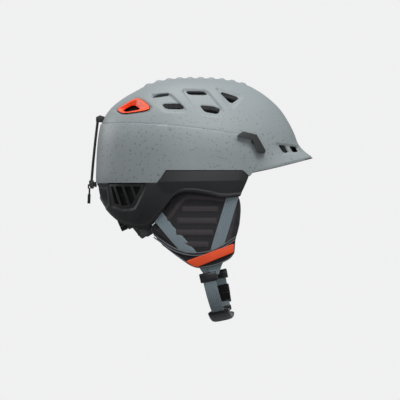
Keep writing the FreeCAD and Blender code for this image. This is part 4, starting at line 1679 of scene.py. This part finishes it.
@dataclass
class EarFlap:
    """One ear flap: a padded mesh panel, its pocket lip with piping and label, and two tapes."""

    side: Side
    hinge_y: float = 90.0
    hinge_z: float = -38.0
    lean_deg: float = 11.0
    thick: float = 13.0
    tape_wide: float = 15.0
    tape_thick: float = 1.6
    fill: float = 0.8
    lip_fill: float = 0.7
    pad_outline: ClassVar[Outline] = [
        (-10, -45), (-2, -36), (8, -31.5), (38, -33), (52, -35), (66, -36.5), (73, -42), (75.4, -52),
        (75.2, -64), (72, -82), (67.5, -100), (66.5, -112), (61, -118.5), (45, -126), (25, -130),
        (15, -128.5), (4, -121.5), (-22, -102.5), (-36, -89), (-38.5, -83), (-33.5, -77.5), (-20.5, -60),
    ]  # fmt: skip
    lip_top: ClassVar[Outline] = [
        (-34, -89.2), (-13.5, -103.5), (3.4, -110), (18.9, -112), (38.4, -109.3), (54, -101), (68.6, -90.8),
    ]  # fmt: skip

    @property
    def body(self) -> str:
        """The body that the flap is."""
        return f"ear_flap_{self.side.word}"

    def warp(self, x: Array) -> Array:
        """How far in the flap's rear edge is drawn, to pass inside the lower shell."""
        return 5.5 * smoothstep(-x, 4.0, 31.0)

    def place(self, points: Array) -> Array:
        """Turns flat points into the helmet's frame, all in millimetres.

        Args:
            points: Rows of X, outward distance and Z.

        Returns:
            Rows of X, Y and Z.
        """
        points = np.asarray(points, float)
        lean = math.radians(self.lean_deg)
        out = points[..., 1] - self.warp(points[..., 0])
        drop = points[..., 2] - self.hinge_z
        y = -self.hinge_y - out * math.cos(lean) - drop * math.sin(lean)
        z = self.hinge_z - out * math.sin(lean) + drop * math.cos(lean)
        return np.stack([points[..., 0], -self.side.value * y, z], axis=-1)

    def settle(self, bm: bmesh.types.BMesh) -> None:
        """Moves a mesh built flat, with Y as its outward distance, into place."""
        move_points(bm, self.place(flat_points(bm)))
        face_outwards(bm)

    def bend(self, piece: bpy.types.Object) -> None:
        """Bakes a piece's place into its mesh; it is tied to no body and does not bend.

        Args:
            piece: The piece.
        """
        self.body
        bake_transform(piece)

    def quilting(self, x: Array, z: Array) -> Array:
        """How far the panel's welded ribs stand up.

        Args:
            x: X of the panel's points.
            z: Their Z.

        Returns:
            One height for each point, in millimetres.
        """
        border = depth_inside(x, z, self.pad_outline)
        frame = smoothstep(border, 6.0, 8.0) * (1 - smoothstep(border, 10.5, 12.5))
        rungs = np.zeros(x.shape)
        for height, left, right in ((-56, 2, 46), (-71, -4, 44), (-86, -6, 40), (-101, -2, 34)):
            bar = [(left, height - 3.2), (right, height - 3.2), (right, height + 3.2), (left, height + 3.2)]
            rungs = np.maximum(rungs, smoothstep(depth_inside(x, z, bar), -1.2, 1.2))
        return 1.1 * np.maximum(rungs, 0.7 * frame)

    def pad(self) -> None:
        """Builds the padded panel."""
        bm = padded_mesh(rounded(self.pad_outline, 2), -1.2, -self.thick + 2.0, 2.6, 3.0, 2.6)
        bm.normal_update()
        flat = flat_points(bm)
        facing = np.array([v.normal.y for v in bm.verts])
        rise = self.quilting(flat[:, 0], flat[:, 2]) * smoothstep(facing, 0.2, 0.7)
        for v, up in zip(bm.verts, rise):
            v.co.y += float(up) * MM
        self.settle(bm)
        piece = piece_from(bm, f"{self.side.word}_ear_panel", 60.0)
        weld_mark = piece.data.attributes.new("weld", "FLOAT", "POINT")
        weld_mark.data.foreach_set("value", np.clip(rise / 0.7, 0, 1))
        self.bend(piece)
        nodes = [f"{self.side.word}_ear_pad", f"{self.side.word}_ear_cushion"]
        present(piece, EAR_MESH, "", nodes)

    def lip(self) -> None:
        """Builds the pocket lip that the tapes run behind."""
        foot = [p for p in offset_outline(self.pad_outline, 0.8) if p[1] < -88]
        foot = sorted(foot, key=lambda p: -p[0])
        bm = padded_mesh([*self.lip_top, *foot[1:-1]], 3.4, -8.5, 2.2, 2.0, 1.4, smooth=3)
        self.settle(bm)
        piece = piece_from(bm, f"{self.side.word}_pocket_lip", 60.0)
        present(piece, EAR_RIM, self.body, [f"{self.side.word}_ear_lip"])

    def piping(self) -> None:
        """Builds the piping along the lip's top and bottom edges."""
        top = rounded(self.lip_top, 2, 0.25, closed=False)
        low = [(65.6, -112.5), (59.4, -119), (45, -125.6), (25, -129.6), (15, -127.8), (4, -121), (-20, -103)]
        runs = {
            "upper": [(x, 4.3, z + 0.6) for x, z in top],
            "second": [(x, 4.5, z - 2.6) for x, z in top],
            "lower": [(x, 2.8, z) for x, z in low],
        }
        for name, run in runs.items():
            line = self.place(spline(np.array(run), 90))
            strip = Strip(line, (0, 1, 0), 1.7, 1.7, 1.0, 10, 1.2)
            present(piece_from(strip.mesh(), f"{self.side.word}_{name}_piping", 60.0), PIPING, self.body)

    def label(self) -> None:
        """Builds the plain label and the stitches round it."""
        corners = [(6.5, -121.4), (66.3, -98.8), (66.2, -109.8), (42.5, -119.6), (21, -128.6), (15.5, -127.6)]
        bm = solid_from(rounded(corners, 1, 0.06), 5.4, 3.2)
        bmesh.ops.subdivide_edges(bm, edges=bm.edges, cuts=5, use_grid_fill=True)
        soften(bm, 0.4, 2, 60.0)
        self.settle(bm)
        name = f"{self.side.word}_label_band"
        present(piece_from(bm, name, 50.0), LABEL, self.body, [f"{self.side.word}_ear_label"])
        seam = offset_outline(corners, -1.5)
        bm = bmesh.new()
        for (x0, z0), (x1, z1) in zip(seam, [*seam[1:], seam[0]]):
            length = math.hypot(x1 - x0, z1 - z0)
            count = max(1, int(length / 2.6))
            for i in range(count):
                a, b = (i + 0.2) / count, (i + 0.8) / count
                ends = [(x0 + (x1 - x0) * t, 5.45, z0 + (z1 - z0) * t) for t in (a, (a + b) / 2, b)]
                add_strip(bm, Strip(self.place(np.array(ends)), (0, 1, 0), 0.5, 0.5, 1.0, 6, 0.5))
        present(piece_from(bm, f"{self.side.word}_label_stitches", 60.0), THREAD, self.body)

    def tape(self, name: str, run: Outline, stands_for: Sequence[str] = (), tail: bool = False) -> None:
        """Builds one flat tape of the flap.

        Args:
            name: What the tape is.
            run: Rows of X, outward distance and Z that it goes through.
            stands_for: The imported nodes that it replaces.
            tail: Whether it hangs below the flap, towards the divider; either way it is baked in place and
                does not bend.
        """
        line = self.place(spline(np.array(run), 70))
        face = self.place(np.array([[0, 0, 0], [0, 1, 0]], float))
        tangent = unit(np.gradient(line, axis=0))
        across = np.cross(tangent, unit(face[1] - face[0]))
        bm = Strip(line, across, self.tape_wide, self.tape_thick).mesh()
        piece = piece_from(bm, f"{self.side.word}_{name}", 60.0)
        if tail:
            yoke = f"yoke_{self.side.word}"
            self.body
            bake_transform(piece)
        else:
            self.bend(piece)
        present(piece, WEBBING, "", stands_for)

    def build(self) -> None:
        """Builds the flap."""
        self.pad()
        self.lip()
        self.piping()
        self.label()
        word = self.side.word
        front = [(67.5, -1.0, -30), (64.3, 0.9, -41), (56, 1.2, -70), (47.5, 1.4, -98), (43, 0.5, -116)]
        rear = [(-40, 0.6, -52), (-27, 1.0, -67.6), (-10, 1.3, -87.6), (8, 1.4, -108), (15, 0.4, -117)]
        self.tape("front_tape", front, [f"{word}_front_webbing"])
        self.tape("rear_tape", rear, [f"{word}_rear_webbing"])
        self.tape("front_tail", [(47, -3.4, -119), (43, -3.2, -129), (40.5, -1.6, -137.5)], tail=True)
        self.tape("rear_tail", [(25, -4.6, -120), (31, -4.6, -130), (37, -3.6, -138)], tail=True)


@dataclass
class ChinStrap:
    """The strap below the ear flaps: dividers, tapes, chin pad and buckle."""

    exit: tuple[float, float, float] = (39.0, 68.0, -128.0)
    drop: float = 68.0
    pitch_deg: float = 12.0
    yaw_deg: float = -5.9
    tape_wide: float = 16.0
    pad_wide: float = 27.0
    pad_thick: float = 6.4
    pad_fill: float = 0.7
    grips: int = 5

    def line(self, low: float, high: float, count: int, out: float = 0.0, shift: float = 0.0) -> Array:
        """Points along the hanging loop.

        Args:
            low: Where it starts: -1 is the right exit, 0 the chin and 1 the left exit.
            high: Where it ends.
            count: How many points.
            out: How far outside the loop they lie, in millimetres.
            shift: How far forward they lie, in millimetres.

        Returns:
            The points, in the helmet's frame.
        """
        share = np.linspace(low, high, count) * math.pi / 2
        y = self.exit[1] * np.sin(share)
        z = -self.drop * np.abs(np.cos(share)) ** 0.85
        along = unit(np.stack([np.gradient(y), np.gradient(z)], axis=1))
        y, z = y + out * along[:, 1], z - out * along[:, 0]
        pitch, yaw = math.radians(self.pitch_deg), math.radians(self.yaw_deg)
        x = shift * math.cos(pitch) - z * math.sin(pitch)
        z = shift * math.sin(pitch) + z * math.cos(pitch)
        turned_x = x * math.cos(yaw) - y * math.sin(yaw)
        turned_y = x * math.sin(yaw) + y * math.cos(yaw)
        return np.stack([self.exit[0] + turned_x, turned_y, self.exit[2] + z], axis=1)

    def forward(self) -> Array:
        """The direction across the straps."""
        return unit(self.line(0, 0.01, 2, shift=1.0)[0] - self.line(0, 0.01, 2)[0])

    def tape(self, name: str, low: float, high: float, body: str, stands_for: Sequence[str]) -> None:
        """Builds a tape along the loop.

        Args:
            name: The piece's name.
            low: Where it starts on the loop.
            high: Where it ends.
            body: The body that it moves with.
            stands_for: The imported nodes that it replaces.
        """
        bm = Strip(self.line(low, high, 60), self.forward(), self.tape_wide, 1.6).mesh()
        present(piece_from(bm, name, 60.0), WEBBING, body, stands_for)

    def pad(self) -> None:
        """Builds the chin pad and its piping."""
        line = self.line(-0.40, 0.262, 90)
        bm = Strip(line, self.forward(), self.pad_wide, self.pad_thick, 0.5, 40, 5.0).mesh()
        sleeve = piece_from(bm, "chin_pad_sleeve", 60.0)
        present(sleeve, CHIN, "chin_strap_right", ["chin_pad"])
        for word, shift in (("front", self.pad_wide / 2 - 1.2), ("rear", 1.2 - self.pad_wide / 2)):
            edge = self.line(-0.385, 0.245, 80, 0.0, shift)
            bm = Strip(edge, self.forward(), 2.0, 2.0, 1.0, 10, 1.5).mesh()
            present(piece_from(bm, f"chin_pad_{word}_piping", 60.0), EAR_RIM, "chin_strap_right")

    def grips_on(self, name: str, low: float, high: float, body: str) -> None:
        """Builds the thumb ridges on a half of the buckle.

        Args:
            name: The piece's name.
            low: Where they start on the loop.
            high: Where they end.
            body: The body that they move with.
        """
        bm = bmesh.new()
        for share in np.linspace(low, high, self.grips):
            across = self.forward()
            middle = self.line(share, share + 0.01, 2, out=2.6)[0]
            ends = np.array([middle - across * 6.5, middle, middle + across * 6.5])
            here, ahead = self.line(share, share + 0.01, 2)
            add_strip(bm, Strip(ends, unit(ahead - here), 1.3, 1.2, 1.0, 8, 0.8))
        present(piece_from(bm, name, 60.0), BUCKLE, body)

    def build(self) -> None:
        """Builds the strap."""
        for side in Side:
            refined(f"{side.word}_strap_divider", BUCKLE, f"yoke_{side.word}", 1.1, 3)
        self.tape("right_chin_tape", -0.868, -0.39, "chin_strap_right", ["right_chin_webbing"])
        self.tape("buckle_tape", 0.25, 0.54, "chin_strap_right", ["buckle_webbing"])
        self.tape("left_chin_tape", 0.77, 0.868, "chin_strap_left", ["left_chin_webbing"])
        self.pad()
        refined("buckle_tongue", BUCKLE, "chin_strap_right", 0.9, 3)
        refined("buckle_housing", BUCKLE, "chin_strap_left", 0.9, 3)
        refined("strap_keeper", ELASTIC, "chin_strap_right", 0.4)
        self.grips_on("tongue_ridges", 0.56, 0.61, "chin_strap_right")
        self.grips_on("housing_ridges", 0.68, 0.74, "chin_strap_left")
        for node in ("tongue_magnet", "housing_magnet"):
            dress_node(node, STEEL)


@dataclass
class Retainer:
    """The goggle strap retainer at the back."""

    body: str = "goggle_retainer"
    spacing: float = 9.0
    radius: float = 1.6

    def build(self) -> None:
        """Builds the cords, the eye, the hook and the pull tab."""
        eye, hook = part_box("retainer_eye"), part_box("retainer_hook")
        top = np.array([(eye[0][0] + eye[1][0]) / 2, 0, (eye[0][2] + eye[1][2]) / 2]) / MM
        foot = np.array([(hook[0][0] + hook[1][0]) / 2, 0, hook[1][2] - 0.0008]) / MM
        bow = [(t, np.array([-0.5 * math.sin(math.pi * t), 0, 0])) for t in (0.35, 0.7)]
        middle = [top * (1 - t) + foot * t + out for t, out in bow]
        for word, y in (("right", -self.spacing / 2), ("left", self.spacing / 2)):
            run = np.array([top, *middle, foot]) + np.array([0, y, 0])
            bm = Strip(spline(run, 80), (0, 1, 0), 2 * self.radius, 2 * self.radius, 1.0, 14).mesh()
            stands = ["retainer_cords"] if word == "right" else []
            present(piece_from(bm, f"{word}_retainer_cord", 60.0), ELASTIC, self.body, stands)
        refined("retainer_eye", CLIP, self.body, 0.3)
        refined("retainer_hook", CLIP, self.body, 0.6, 3)
        refined("retainer_pull_tab", ELASTIC, self.body, 0.3)


@dataclass
class Interior:
    """Liner, comfort pads, head band, cradle and fit dial."""

    body: str = "helmet"
    fill: float = 0.7
    pads: ClassVar[dict[str, tuple[float, float, float, float]]] = {
        "brow_pad": (-52.0, 52.0, 1.0, 23.0),
        "rear_pad": (133.0, 227.0, 1.0, 25.0),
        "left_side_comfort_pad": (66.0, 117.0, 1.0, 25.0),
        "right_side_comfort_pad": (-117.0, -66.0, 1.0, 25.0),
    }

    def pad(self, node: str, span: tuple[float, float, float, float]) -> None:
        """Builds one crowned pad on the liner's inner face, with a sewn channel round it.

        Args:
            node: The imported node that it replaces.
            span: Where it starts and ends round the head, in degrees, and its lower and upper height.
        """
        start, end, low, high = span

        def place(u: Array, v: Array) -> Array:
            """The surface's points for two shares."""
            front = v < 0.5
            w = np.where(front, v, 1 - v) * 2
            ends = np.minimum(u, 1 - u) * (end - start) * 1.3
            edge = np.minimum(ends, np.minimum(w, 1 - w) * (high - low) * 1.3)
            full = np.sqrt(1 - (1 - np.clip(edge / 7.0, 0, 1)) ** 2)
            seam = 1 - 0.35 * np.exp(-(((edge - 9.0) / 1.6) ** 2))
            inset = np.where(front, 24.6 + 6.4 * full * seam, 24.4)
            height = low + (high - low) * w
            base = DOME.datum + (height - DOME.datum) * 130.0 / (130.0 - 24.5)
            return DOME.at(np.radians(start + (end - start) * u), base, inset)

        bm = grid(90, 60, place)
        weld(bm, 1e-6)
        weld(bm, 5e-5)
        face_outwards(bm)
        present(piece_from(bm, node + "_cushion", 70.0), LINING, self.body, [node])

    def crown(self) -> None:
        """Builds the crown pad: four fingers meeting at the top."""
        outline = [
            (-20, -8), (-6, -26), (16, -30), (40, -26), (58, -8),
            (58, 8), (40, 26), (16, 30), (-6, 26), (-20, 8),
        ]  # fmt: skip
        bm = padded_mesh(rounded(outline, 1), 0.0, -6.0, 2.6, 2.0, 1.6)
        flat = flat_points(bm)
        x, y, deep = flat[:, 0], flat[:, 2], -flat[:, 1]
        fingers = 0.5 + 0.5 * np.cos(np.arctan2(y, x - 19) * 4)
        deep = deep + 1.6 * fingers * (deep > 3)
        reach = np.clip(1 - ((x - 15) / 117.0) ** 2 - (y / 83.0) ** 2, 0.05, 1)
        z = DOME.datum + 106.0 * np.sqrt(reach) - 1.5 - deep
        move_points(bm, np.stack([x, y, z], axis=1))
        face_outwards(bm)
        present(piece_from(bm, "crown_cushion", 70.0), LINING, self.body, ["crown_pad"])

    def nape(self) -> None:
        """Builds the pad on the cradle."""
        low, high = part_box("nape_pad")
        outline = [(-26, -16), (26, -16), (27, 6), (22, 23), (-22, 23), (-27, 6)]
        bm = padded_mesh(rounded(outline, 2), -0.4, -4.6, 2.2, 2.0, 1.4)
        middle = (Vector(low) + Vector(high)) / 2 / MM
        tilt = math.radians(-23.0)
        flat = flat_points(bm)
        deep, across, up = -flat[:, 1] - 2.6, flat[:, 0], flat[:, 2] - 3.5
        x = middle.x + deep * math.cos(tilt) + up * math.sin(tilt)
        z = middle.z - deep * math.sin(tilt) + up * math.cos(tilt)
        move_points(bm, np.stack([x, across, z], axis=1))
        face_outwards(bm)
        present(piece_from(bm, "nape_cushion", 70.0), LINING, self.body, ["nape_pad"])

    def guard(self) -> None:
        """Builds the guard under the cradle, with two notches along its lower edge."""
        outline = [
            (-63, -76), (-61, -80), (-50, -93.4), (-47.5, -93),
            (-44, -90.4), (-42, -91.2), (-33, -85.5), (-36, -76),
        ]  # fmt: skip
        bm = solid_from(rounded(outline, 1, 0.12), -21.0, 21.0)
        soften(bm, 0.9, 3, 30.0)
        present(piece_from(bm, "cradle_guard", 40.0), CRADLE, self.body)

    def build(self) -> None:
        """Builds the inside."""
        dress_node("impact_liner", FOAM)
        for node, span in self.pads.items():
            self.pad(node, span)
        self.crown()
        self.nape()
        refined("nape_cradle", CRADLE, self.body, 0.5)
        self.guard()
        refined("fit_dial", BUCKLE, "fit_dial_body", 0.6, 3)
        dress_node("dial_pinion", CRADLE)
        for side in Side:
            refined(f"{side.word}_halo_arm", CRADLE, self.body, 0.3)
            refined(f"{side.word}_band_tail", CRADLE, f"band_tail_{side.word}", 0.4)
            dress_node(f"{side.word}_halo_anchor", CLIP)
            dress_node(f"{side.word}_strap_anchors", CRADLE)


def main() -> None:
    """Builds every assembly, then the studio."""
    logging.basicConfig(level=logging.INFO, format="%(name)s %(message)s")
    flaps = (EarFlap(Side.RIGHT), EarFlap(Side.LEFT))
    assemblies = (HardShells(), Fittings(), *flaps, ChinStrap(), Retainer(), Interior(), Studio())
    for part in assemblies:
        part.build()
        LOG.info("built %s", type(part).__name__)


if __name__ == "__main__":
    main()
